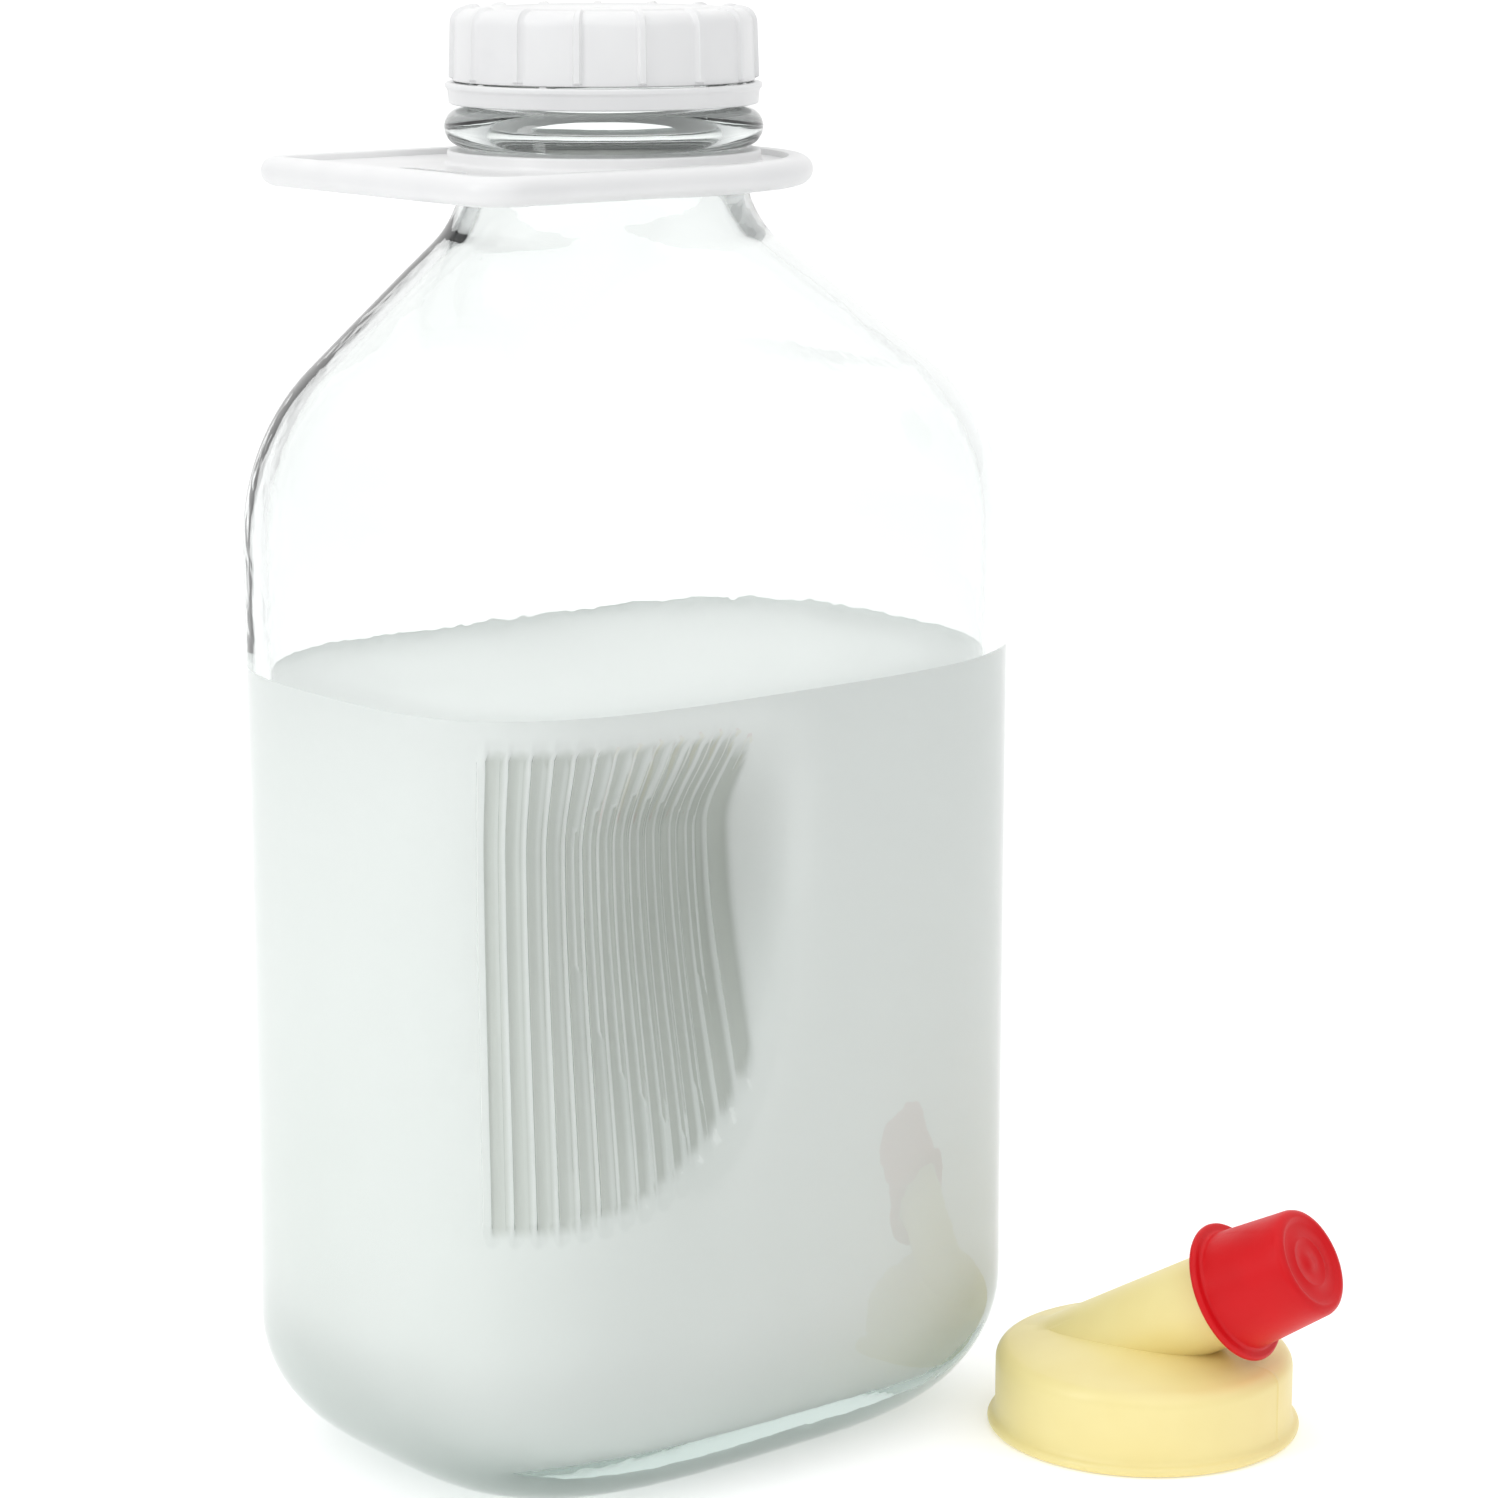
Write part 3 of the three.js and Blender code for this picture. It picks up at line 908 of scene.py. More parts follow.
    def finish_profile(self) -> Profile:
        """Radius and height up the outside of the neck's finish, from the neck to the mouth.

        Returns:
            The profile.
        """
        bead = arc(self.bead_r - self.bead_round, self.bead_z, self.bead_round, -82, 82, 16)
        above = bead[-1][1] + 0.4 * MM
        ring_z, ring_r = self.lock_ring_z, self.lock_ring_r
        thread_low = ring_z + 1.3 * MM
        thread_high = self.lip_z - self.lip_round - 0.3 * MM
        steps = round((thread_high - thread_low) / (0.34 * MM))
        return [
            (self.neck_r, self.bead_z - self.bead_round - 1.2 * MM),
            (self.neck_r - 0.1 * MM, self.bead_z - self.bead_round - 0.3 * MM),
            *bead,
            (self.finish_r + 0.2 * MM, above),
            (self.finish_r, above + 0.5 * MM),
            (self.finish_r, ring_z - 1.3 * MM),
            (self.finish_r + 0.4 * MM, ring_z - 1.0 * MM),
            (ring_r - 0.3 * MM, ring_z - 0.6 * MM),
            (ring_r, ring_z - 0.2 * MM),
            (ring_r - 0.3 * MM, ring_z + 0.15 * MM),
            (self.finish_r + 0.5 * MM, ring_z + 0.9 * MM),
            (self.finish_r, thread_low),
            *straight((self.finish_r, thread_low), (self.finish_r, thread_high), steps),
            *arc(self.finish_r - self.lip_round, self.lip_z - self.lip_round, self.lip_round, 0, 90, 5),
        ]

    def threaded(self, point: tuple[float, float]) -> np.ndarray:
        """A ring of the finish, with the thread standing on it where the height is right.

        Args:
            point: Radius and height of the ring.

        Returns:
            The ring's points.
        """
        ring = self.round_section(point).points(self.angles)
        r, z = point
        low, high = self.lock_ring_z + 1.3 * MM, self.lip_z - self.lip_round - 0.3 * MM
        inside = smoothstep(low, low + 1.0 * MM, z) * (1.0 - smoothstep(high - 1.0 * MM, high, z))
        if inside > 0 and abs(r - self.finish_r) < 1e-6:
            ridge = helix_ridge(z, self.angles, self.thread_lead, self.thread_starts, 0.5)
            grown = 1.0 + ridge * inside * self.thread_proud / r
            ring[:, 0] = self.neck_shift + (ring[:, 0] - self.neck_shift) * grown
            ring[:, 1] *= grown
        return ring

    def inner_rings(self, inset: float, step: float, groove_share: float, top: float) -> list[np.ndarray]:
        """Rings of the inner skin from the mouth down to the middle of the floor.

        Args:
            inset: Distance from the outer skin.
            step: Distance between rings over the grip.
            groove_share: Part of the grooves that shows on this skin.
            top: Rings above this height are left out.

        Returns:
            The rings, in the bottle's own coordinates.
        """
        floor = self.push_up + self.base_thick + inset - self.wall
        drop = self.heel - self.wall
        narrowing = self.neck_r - self.bore_r - self.wall
        throat = [
            self.shoulder_section(spread, z, inset + (1.0 - spread) * narrowing).points(self.angles)
            for spread, z in reversed(self.shoulder_curve(14, 5, 9))
            if z < top
        ]
        sides = [
            self.pressed(self.body_section(self.half_long, z, inset), groove_share)
            for z in reversed(self.side_heights(step))
            if floor + drop + 0.5 * MM < z < top - 0.3 * MM
        ]
        top_z = floor + drop
        curve = arc(self.half_long - self.heel, top_z, self.heel, 0, -90, 9)
        heel = [
            self.body_section(half, top_z + (z - top_z) * drop / self.heel, inset).points(self.angles)
            for half, z in curve
        ]
        span = self.half_long - self.heel
        halves = [span * s + inset for s in (0.75, 0.45, 0.15)]
        bottom = [self.body_section(half, floor, inset).points(self.angles) for half in halves]
        return [*throat, *sides, *heel, *bottom]

    def build(self, material: bpy.types.Material) -> bpy.types.Object:
        """Models the bottle and ties it to its body.

        Args:
            material: The clear glass.

        Returns:
            The bottle.
        """
        walls = [self.body_section(self.half_long, z, 0.0) for z in self.side_heights(1.5 * MM)]
        sides = [self.pressed(wall, 1.0) for wall in walls]
        shoulder = [
            self.shoulder_section(spread, z, 0.0).points(self.angles)
            for spread, z in self.shoulder_curve(14, 5, 9)
        ]
        mouth = arc(self.bore_r + self.lip_round, self.lip_z - self.lip_round, self.lip_round, 90, 180, 4)
        bore_foot = self.shoulder_curve(14, 5, 9)[-1][1]
        bore = straight(mouth[-1], (self.bore_r, bore_foot + 1 * MM), 4)
        rings = np.array([
            *self.underside(),
            *sides,
            *shoulder,
            *(self.threaded(point) for point in self.finish_profile()),
            *(self.round_section(point).points(self.angles) for point in [*mouth, *bore]),
            *self.inner_rings(self.wall, 2.0 * MM, self.inner_share, self.lip_z),
        ])
        piece = loft("bottle_glass", moved(rings, self.origin))
        smooth(piece, 60)
        finish_piece(piece, "bottle", "glass_bottle", material)
        return piece


@dataclass
class MilkFill:
    """The milk: it fills the body against the glass and creeps up it at its rim."""

    bottle: GlassBottle
    wetting: float = 0.15 * MM
    creep: float = 0.9 * MM
    creep_width: float = 2.6 * MM

    def build(self, material: bpy.types.Material) -> bpy.types.Object:
        """Models the milk and ties it to the bottle.

        Args:
            material: The milk.

        Returns:
            The milk.
        """
        bottle = self.bottle
        inset = bottle.wall - self.wetting
        top = bottle.milk_top - self.creep
        surface = []
        for share in (0.02, 0.3, 0.6, 0.85):
            half = (bottle.half_long - self.creep_width - inset) * share + inset
            surface.append(bottle.body_section(half, top, inset).points(bottle.angles))
        for share in (1.0, 0.6, 0.3, 0.12, 0.0):
            level = top + self.creep * (1.0 - share) ** 2.4
            section = bottle.body_section(bottle.half_long, level, inset + self.creep_width * share)
            surface.append(bottle.pressed(section, 0.0))
        rings = np.array([*surface, *bottle.inner_rings(inset, 2.0 * MM, bottle.inner_share, top)])
        grip = bottle.grip
        # Masks of the grooves and the hollow, which the milk material uses to paint shade there.
        grooves = [grip.grooves(ring[:, 0], bottle.girth, ring[0, 2]) / grip.groove for ring in rings]
        hollow = [grip.hollow(ring[:, 0], ring[0, 2]) / grip.depth for ring in rings]
        piece = loft("milk_fill", moved(rings, bottle.origin), marks={"groove": grooves, "hollow": hollow})
        smooth(piece, 50)
        finish_piece(piece, "bottle", "milk", material)
        return piece


# ------------------------------------------------------------------ closure


@dataclass
class ScrewCap:
    """The ribbed screw cap with its inner thread."""

    axis: tuple[float, float]
    low: float = field(default_factory=lambda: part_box("cap_shell")[0].z)
    top: float = field(default_factory=lambda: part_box("cap_shell")[1].z)
    ceiling: float = field(default_factory=lambda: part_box("cap_liner")[1].z + 0.3 * MM)
    outer_r: float = 26.3 * MM
    draft: float = 0.3 * MM
    bore_r: float = 24.8 * MM
    edge: float = 2.6 * MM
    ribs: int = 15
    rib_start: float = 0.3
    rib_proud: float = 0.7 * MM
    rib_half: float = 0.52 * MM
    deck: float = 0.5 * MM
    thread_proud: float = 0.75 * MM
    thread_lead: float = 12 * MM

    def angles(self) -> np.ndarray:
        """Directions of the columns, close together across each rib.

        Returns:
            The directions.
        """
        half = math.pi / self.ribs
        near = np.array([0.45, 0.8, 1.1, 1.5, 2.2]) * self.rib_half / self.outer_r
        side = np.concatenate([near, np.linspace(near[-1], half, 5)[1:-1]])
        one = np.concatenate([-half + np.zeros(1), -side[::-1], [0.0], side])
        starts = (np.arange(self.ribs) + self.rib_start) * 2.0 * half
        return (starts[:, None] + one[None, :]).ravel()

    def rib(self, angles: np.ndarray) -> np.ndarray:
        """How much of a rib stands at each direction, from 0 to 1.

        Args:
            angles: The directions.

        Returns:
            Shares of a full rib.
        """
        spacing = 2.0 * math.pi / self.ribs
        turn = angles / spacing - self.rib_start
        away = np.abs(turn - np.round(turn)) * spacing * self.outer_r
        return 1.0 - smoothstep(self.rib_half * 0.8, self.rib_half * 1.5, away)

    def outside(self, angles: np.ndarray) -> list[np.ndarray]:
        """Rings from the middle of the top to the lower rim, with the ribs turned over the edge.

        Args:
            angles: Directions of the columns.

        Returns:
            The rings.
        """
        deck_z = self.top - self.deck
        gate = [(1.2, -0.25), (1.5, -0.25), (1.8, 0.0), (8.0, 0.0)]
        deck = [*gate, (17.2, 0.0), (17.6, 0.25), (18.4, 0.25), (18.8, 0.0)]
        flat = [(r * MM, deck_z + z * MM, 0.0) for r, z in deck]
        turn_r = self.outer_r - self.draft - self.edge
        over = [(turn_r - 1.2 * MM, deck_z, 0.0), (turn_r - 0.7 * MM, deck_z, 0.55)]
        side_low = self.low + 0.35 * MM
        edge = [(r, z, 1.0) for r, z in arc(turn_r, deck_z - self.edge, self.edge, 90, 0, 9)]
        wall = [(r, z, 1.0) for r, z in straight(edge[-1][:2], (self.outer_r, side_low + 0.3 * MM), 8)]
        foot = [(self.outer_r, side_low, 0.0), (self.outer_r, self.low + 0.15 * MM, 0.0)]
        foot.append((self.outer_r - 0.2 * MM, self.low, 0.0))
        stand = self.rib(angles)
        rings = []
        rows = [*flat, *over, *edge, *wall, *foot]
        for r, z, share in rows:
            lean = np.clip((r - turn_r) / self.edge, 0.0, 1.0)
            grow = self.rib_proud * stand * share
            radius = r + grow * lean
            level = z + np.minimum(grow * math.sqrt(max(0.0, 1.0 - lean**2)), self.deck)
            rings.append(np.column_stack([radius * np.cos(angles), radius * np.sin(angles), level]))
        return rings

    def inside(self, angles: np.ndarray) -> list[np.ndarray]:
        """Rings from the lower rim up the threaded bore to the middle of the ceiling.

        Args:
            angles: Directions of the columns.

        Returns:
            The rings.
        """
        low, high = self.low + 0.5 * MM, self.ceiling - 2.0 * MM
        bore = [(self.bore_r + 0.3 * MM, self.low), (self.bore_r, low)]
        bore += straight((self.bore_r, low), (self.bore_r, high), 24)
        bore += [(self.bore_r, self.ceiling - 1.2 * MM), (self.bore_r - 0.5 * MM, self.ceiling - 0.8 * MM)]
        bore += [(self.bore_r - 0.5 * MM, self.ceiling), (16 * MM, self.ceiling), (6 * MM, self.ceiling)]

        def ridge(r: float, z: float, turns: np.ndarray) -> np.ndarray:
            """How far the thread narrows the bore.

            Args:
                r: Radius of the point.
                z: Height.
                turns: Directions round the bore.

            Returns:
                What is added to the radius.
            """
            inside = smoothstep(low, low + 1 * MM, z) * (1.0 - smoothstep(high - 1 * MM, high, z))
            if abs(r - self.bore_r) > 1e-6:
                return np.zeros(len(turns))
            half_pitch = self.thread_lead / 6.0
            return -inside * self.thread_proud * helix_ridge(z + half_pitch, turns, self.thread_lead, 3, 0.45)

        return list(turned_rings(bore, angles, ridge))

    def build(self, material: bpy.types.Material) -> bpy.types.Object:
        """Models the cap and ties it to its body.

        Args:
            material: The white plastic.

        Returns:
            The cap.
        """
        angles = self.angles()
        rings = np.array([*self.outside(angles), *self.inside(angles)])
        piece = loft("cap_moulding", moved(rings, (*self.axis, 0.0)))
        smooth(piece, 35)
        finish_piece(piece, "cap", "cap_shell", material)
        return piece


@dataclass
class SealingDisc:
    """The foam disc under the cap's ceiling, dented where the bottle's lip presses it."""

    axis: tuple[float, float]
    lip_r: float
    low: float = field(default_factory=lambda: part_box("cap_liner")[0].z)
    high: float = field(default_factory=lambda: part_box("cap_liner")[1].z)
    radius: float = 23.2 * MM
    dent: float = 0.25 * MM

    def build(self, material: bpy.types.Material) -> bpy.types.Object:
        """Models the disc and ties it to its body.

        Args:
            material: The liner foam.

        Returns:
            The disc.
        """
        low, high, edge = self.low, self.high, 0.25 * MM
        dent = [(self.lip_r + s * 0.7 * MM, low + self.dent * (1.0 - s * s)) for s in np.linspace(-1, 1, 7)]
        profile = [
            (3 * MM, low),
            (12 * MM, low),
            *dent,
            *arc(self.radius - edge, low + edge, edge, -90, 0, 3),
            *arc(self.radius - edge, high - edge, edge, 0, 90, 3),
            (12 * MM, high),
            (3 * MM, high),
        ]
        piece = loft("cap_sealing_disc", moved(turned_rings(profile, even_turn(120)), (*self.axis, 0.0)))
        smooth(piece, 40)
        finish_piece(piece, "seal", "cap_liner", material)
        return piece


@dataclass
class TamperBand:
    """The tear band below the cap: a flared top edge, a folded hook inside and snapped-off bridges."""

    axis: tuple[float, float]
    low: float = field(default_factory=lambda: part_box("tamper_band")[0].z)
    high: float = field(default_factory=lambda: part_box("tamper_band")[1].z)
    radius: float = 27.5 * MM
    bore_r: float = 25.5 * MM
    hook_r: float = 24.2 * MM
    bridges: int = 12
    bridge_half: float = 0.45 * MM
    bridge_high: float = 0.24 * MM

    def build(self, material: bpy.types.Material) -> bpy.types.Object:
        """Models the band and ties it to its body.

        Args:
            material: The white plastic.

        Returns:
            The band.
        """
        low, high = self.low, self.high
        profile = [
            (self.hook_r + 0.6 * MM, low + 0.05 * MM),
            *arc(self.radius - 1.0 * MM, low + 0.4 * MM, 0.4 * MM, -90, 0, 4),
            (self.radius - 0.42 * MM, high - 1.45 * MM),
            (self.radius - 0.3 * MM, high - 1.15 * MM),
            *arc(self.radius - 0.35 * MM, high - 0.7 * MM, 0.35 * MM, -45, 0, 2),
            *arc(self.radius - 0.3 * MM, high - 0.3 * MM, 0.3 * MM, 0, 90, 4),
            (self.bore_r + 1.05 * MM, high),
            (self.bore_r + 0.65 * MM, high),
            (self.bore_r + 0.25 * MM, high),
            (self.bore_r, high - 0.25 * MM),
            (self.bore_r, low + 1.5 * MM),
            (self.hook_r + 0.15 * MM, low + 1.1 * MM),
            (self.hook_r, low + 0.8 * MM),
            (self.hook_r + 0.15 * MM, low + 0.35 * MM),
        ]
        spacing = 2.0 * math.pi / self.bridges
        near = np.array([-1.6, -1.0, 1.0, 1.6]) * self.bridge_half / self.bore_r
        one = np.concatenate([near, np.linspace(near[-1], spacing + near[0], 12)[1:-1]])
        angles = (np.arange(self.bridges)[:, None] * spacing + one[None, :]).ravel()
        rings = turned_rings(profile, angles)
        turn = angles / spacing
        away = np.abs(turn - np.round(turn)) * spacing * self.bore_r
        bridge = 1.0 - smoothstep(self.bridge_half, self.bridge_half * 1.5, away)
        middle = self.bore_r + 0.65 * MM
        for ring, (r, z) in zip(rings, profile):
            if z == high and abs(r - middle) < 0.01 * MM:
                ring[:, 2] += self.bridge_high * bridge
        piece = loft("tamper_band_moulding", moved(rings, (*self.axis, 0.0)), Close.BRIDGE)
        smooth(piece, 40)
        finish_piece(piece, "band", "tamper_band", material)
        return piece


# ------------------------------------------------------------------ carrying plate


@dataclass
class CarryingPlate:
    """The snap-on plate: raised rim, recessed web, hub round the neck and a slot for two fingers."""

    axis: tuple[float, float]
    middle_z: float = 229.1 * MM
    round_r: float = 36.4 * MM
    reach: float = 51 * MM
    corner: float = 8 * MM
    web_thick: float = 2.4 * MM
    rim_thick: float = 5 * MM
    rim_wide: float = 4.5 * MM
    bore_r: float = 25.6 * MM
    hub_r: float = 27.3 * MM
    skirt_r: float = 30 * MM
    slot_near: float = -31.5 * MM
    slot_far: float = -44 * MM
    slot_half: float = 20 * MM
    fillet: float = 0.8 * MM
    hub_top: float = field(default_factory=lambda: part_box("carry_handle")[1].z)
    skirt_low: float = field(default_factory=lambda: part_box("carry_handle")[0].z)

    def outline(self, inset: float) -> np.ndarray:
        """The plate's outline, a round end about the neck and a straight end, drawn in by an inset.

        Args:
            inset: How far it is drawn in.

        Returns:
            Points by two coordinates, about the neck's axis.
        """
        radius, far = self.round_r - inset, -(self.reach - inset)
        corner = max(self.corner - inset, 1.5 * MM)
        front = np.radians(np.linspace(-90, 90, 73))
        points = [(radius * math.cos(t), radius * math.sin(t)) for t in front]
        side = [(far * s / 10, radius) for s in range(1, 8)]
        turn = np.radians(np.linspace(90, 180, 10))
        bend = [(far + corner + corner * math.cos(t), radius - corner + corner * math.sin(t)) for t in turn]
        end = [(far, (radius - corner) * (1 - s / 7)) for s in range(1, 7)]
        upper = [*side, *bend, *end]
        lower = [(x, -y) for x, y in reversed(upper)]
        return np.array([*points, *upper, (far, 0.0), *lower])

    def slab(self) -> bpy.types.Object:
        """The plate with its rim and webs, before anything is cut.

        Returns:
            The plate's body.
        """
        half_rim, half_web, fillet = self.rim_thick / 2, self.web_thick / 2, self.fillet
        bull = arc(half_rim, 0.0, half_rim, 180, 90, 7)
        top = [(inset, z) for inset, z in [*bull, (self.rim_wide - fillet, half_rim)]]
        top += [(self.rim_wide - 0.3 * fillet, half_rim - 0.2 * fillet)]
        top += [(self.rim_wide, half_rim - 0.6 * fillet)]
        top += [(self.rim_wide + 0.3 * fillet, half_web + 0.2 * fillet), (self.rim_wide + fillet, half_web)]
        top += [(self.rim_wide + 8 * MM, half_web), (self.rim_wide + 22 * MM, half_web)]
        rows = [(inset, -z) for inset, z in reversed(top)] + top[1:]
        rings = []
        for inset, z in rows:
            flat = self.outline(inset)
            rings.append(np.column_stack([flat, np.full(len(flat), self.middle_z + z)]))
        return loft("carry_plate_moulding", moved(np.array(rings), (*self.axis, 0.0)))

    def hub(self) -> bpy.types.Object:
        """The collar that stands round the neck, as a ring without its bore.

        Returns:
            The collar's body.
        """
        small = 0.5 * MM
        root = self.middle_z + self.web_thick / 2
        foot = self.middle_z - self.web_thick / 2
        profile = [
            (self.bore_r * 0.5, self.skirt_low),
            *arc(self.skirt_r - small, self.skirt_low + small, small, -90, 0, 3),
            *arc(self.skirt_r + self.fillet, foot - self.fillet, self.fillet, 180, 90, 4),
            (self.skirt_r + self.fillet, self.middle_z),
            (self.hub_r + self.fillet, self.middle_z),
            *arc(self.hub_r + self.fillet, root + self.fillet, self.fillet, 270, 180, 4),
            *arc(self.hub_r - small, self.hub_top - small, small, 0, 90, 3),
            (self.bore_r * 0.5, self.hub_top),
        ]
        return loft("hub_tool", moved(turned_rings(profile, even_turn(144)), (*self.axis, 0.0)))

    def bore_tool(self) -> bpy.types.Object:
        """The body that cuts the bore, with a lead-in at its lower end.

        Its last ring is merged into a point, so its top is a shallow cone, which leaves a thin ring of
        plastic across the bore. One more ring on top would clear it.

        Returns:
            The cutting body.
        """
        low, high, lead = self.skirt_low, self.hub_top, 0.6 * MM
        profile = [
            (self.bore_r + 2 * lead, low - lead),
            (self.bore_r, low + lead),
            (self.bore_r, high - lead / 2),
            (self.bore_r + lead, high + lead / 2),
        ]
        return loft("bore_tool", moved(turned_rings(profile, even_turn(144)), (*self.axis, 0.0)))

    def slot_tool(self) -> bpy.types.Object:
        """The body that cuts the finger slot, flared where fingers go over its lower edge.

        Its last ring is merged into a point, so its top is a shallow cone, which leaves a thin web of
        plastic round the slot. One more ring on top would clear it.

        Returns:
            The cutting body.
        """
        half_wide = (self.slot_near - self.slot_far) / 2
        middle = (self.slot_near + self.slot_far) / 2
        turns = np.radians(np.linspace(0, 180, 25))
        rings = []
        half_web, lead = self.web_thick / 2, 0.5 * MM
        below = [(-half_web - lead, lead), (-half_web + lead, 0)]
        above = [(half_web - lead, 0), (half_web + lead, lead)]
        for z, grow in below + above:
            wide = half_wide + grow
            far = self.slot_half - half_wide
            upper = [(middle + wide * math.cos(t), far + wide * math.sin(t)) for t in turns]
            lower = [(middle - wide * math.cos(t), -far - wide * math.sin(t)) for t in turns]
            flat = np.array([*upper, *lower])
            rings.append(np.column_stack([flat, np.full(len(flat), self.middle_z + z)]))
        return loft("slot_tool", moved(np.array(rings), (*self.axis, 0.0)))

    def build(self, material: bpy.types.Material) -> bpy.types.Object:
        """Models the plate and ties it to its body.

        Args:
            material: The white plastic.

        Returns:
            The plate.
        """
        piece = self.slab()
        cut_or_join(piece, self.hub(), "UNION")
        cut_or_join(piece, self.bore_tool(), "DIFFERENCE")
        cut_or_join(piece, self.slot_tool(), "DIFFERENCE")
        clean(piece)
        smooth(piece, 30)
        finish_piece(piece, "handle", "carry_handle", material)
        return piece


# ------------------------------------------------------------------ pourer


@dataclass
class Pourer:
    """The soft pourer: a cup that snaps over the neck, with a slanted tube leaving its crown."""

    flange_r: float = 28.6 * MM
    skirt_r: float = 27.2 * MM
    flange_high: float = 1.8 * MM
    edge_z: float = 15 * MM
    edge_r: float = 3 * MM
    crown_z: float = 17.4 * MM
    wall: float = 2 * MM
    tube_r: float = 8.8 * MM
    tube_bore_r: float = 6.8 * MM
    rise: float = math.radians(30)
    heading: float = math.radians(-71.8)
    cross_z: float = 17.9 * MM
    tube_back: float = -24 * MM
    tube_end: float = 35 * MM
    seam_proud: float = 0.2 * MM
    seam_half: float = 0.22 * MM

    def __post_init__(self) -> None:
        """Finds the cup's axis and the tube's direction."""
        low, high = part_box("pour_spout")
        self.axis = Vector(((low.x + high.x) / 2, high.y - self.flange_r, 0.0))
        level = math.cos(self.rise)
        across, along = level * math.cos(self.heading), level * math.sin(self.heading)
        self.along = Vector((across, along, math.sin(self.rise)))

    def tube_matrix(self) -> Matrix:
        """Lays a body made along Z from 0 on the tube's axis."""
        turn = Vector((0, 0, 1)).rotation_difference(self.along).to_matrix().to_4x4()
        return Matrix.Translation(self.axis + Vector((0, 0, self.cross_z))) @ turn

    def on_tube(self, rings: np.ndarray) -> np.ndarray:
        """The rings of a body made along Z, laid on the tube's axis."""
        matrix = np.array(self.tube_matrix())
        return rings @ matrix[:3, :3].T + matrix[:3, 3]

    def cup_angles(self) -> np.ndarray:
        """Directions round the cup, with close columns on its mould seam.

        Returns:
            The directions.
        """
        seam = self.heading + np.array([-1.6, -0.8, 0.0, 0.8, 1.6]) * self.seam_half / self.skirt_r
        rest = self.heading + np.linspace(0, 2 * math.pi, 161)[1:-1]
        return np.concatenate([seam[2:], rest, seam[:2] + 2 * math.pi])

    def cup(self) -> bpy.types.Object:
        """The cup's outside: rolled lip, upright skirt, rounded shoulder and shallow crown.

        Returns:
            The cup's body.
        """
        lip = self.flange_high / 2
        roll = arc(self.flange_r - lip, lip, lip, -90, 75, 8)
        shoulder = arc(self.skirt_r - self.edge_r, self.edge_z - self.edge_r, self.edge_r, 0, 78, 8)
        end_r, end_z = shoulder[-1]
        rise = self.crown_z - end_z
        crown = [(end_r * s, end_z + rise * (1 - s**1.7)) for s in (0.85, 0.7, 0.5, 0.3, 0.1)]
        profile = [
            (8 * MM, 0.0),
            *roll,
            (self.skirt_r + 0.45 * MM, self.flange_high + 0.1 * MM),
            (self.skirt_r + 0.12 * MM, self.flange_high + 0.6 * MM),
            *straight((self.skirt_r, self.flange_high + 1 * MM), shoulder[0], 6),
            *shoulder[1:],
            *crown,
        ]

        def seam(r: float, z: float, turns: np.ndarray) -> np.ndarray:
            """How far the mould seam stands out.

            Args:
                r: Radius of the point.
                z: Height.
                turns: Directions round the cup.

            Returns:
                What is added to the radius.
            """
            away = np.abs((turns - self.heading + math.pi) % (2 * math.pi) - math.pi) * self.skirt_r
            stand = 1.0 - smoothstep(self.seam_half * 0.6, self.seam_half * 1.5, away)
            shown = float(smoothstep(1.7 * MM, 2.4 * MM, z) * smoothstep(18 * MM, 22 * MM, r))
            return self.seam_proud * stand * shown

        rings = turned_rings(profile, self.cup_angles(), seam)
        return loft("pourer_moulding", moved(rings, self.axis))

    def cup_hollow(self) -> bpy.types.Object:
        """The body that hollows the cup, with a snap groove for the bottle's bead.

        Returns:
            The cutting body.
        """
        bore = self.skirt_r - self.wall
        ceiling = self.edge_z - self.wall
        snap = arc(bore - 0.2 * MM, 6 * MM, 0.9 * MM, -80, 80, 6)
        profile = [
            (bore + 0.6 * MM, -4 * MM),
            (bore + 0.6 * MM, 0.0),
            (bore, 0.8 * MM),
            *snap,
            *arc(bore - 2 * MM, ceiling - 2 * MM, 2 * MM, 0, 80, 5),
            (bore * 0.5, ceiling + 0.8 * MM),
            (4 * MM, ceiling + 1.4 * MM),
        ]
        return loft("cup_hollow", moved(turned_rings(profile, even_turn(128)), self.axis))

    def tube(self) -> bpy.types.Object:
        """The tube's outside, slightly tapered, with a rounded end.

        Returns:
            The tube's body.
        """
        tip = 0.7 * MM
        profile = [
            (self.tube_r * 0.6, self.tube_back),
            (self.tube_r, self.tube_back),
            *straight((self.tube_r, self.tube_back), (self.tube_r, 0.0), 3),
            *straight((self.tube_r, 0.0), (self.tube_r - 0.1 * MM, self.tube_end - tip), 8),
            *arc(self.tube_r - 0.1 * MM - tip, self.tube_end - tip, tip, 0, 90, 4)[1:],
            (self.tube_r * 0.6, self.tube_end),
        ]
        return loft("tube_tool", self.on_tube(turned_rings(profile, even_turn(96))))

    def tube_bore(self) -> bpy.types.Object:
        """The body that bores the tube through into the cup.

        Returns:
            The cutting body.
        """
        profile = [
            (self.tube_bore_r, -20 * MM),
            *straight((self.tube_bore_r, -20 * MM), (self.tube_bore_r, self.tube_end - 0.5 * MM), 6),
            (self.tube_bore_r + 0.5 * MM, self.tube_end + 0.1 * MM),
            (self.tube_bore_r + 0.5 * MM, self.tube_end + 2 * MM),
        ]
        return loft("bore_tool", self.on_tube(turned_rings(profile, even_turn(96))))

    def build(self, material: bpy.types.Material) -> bpy.types.Object:
        """Models the pourer and ties it to its body.

        Args:
            material: The yellow vinyl.

        Returns:
            The pourer.
        """
        piece = self.cup()
        cut_or_join(piece, self.tube(), "UNION")
        cut_or_join(piece, self.cup_hollow(), "DIFFERENCE")
        cut_or_join(piece, self.tube_bore(), "DIFFERENCE")
        clean(piece, 8e-6)
        smooth(piece, 40)
        finish_piece(piece, "pourer", "pour_spout", material)
        return piece


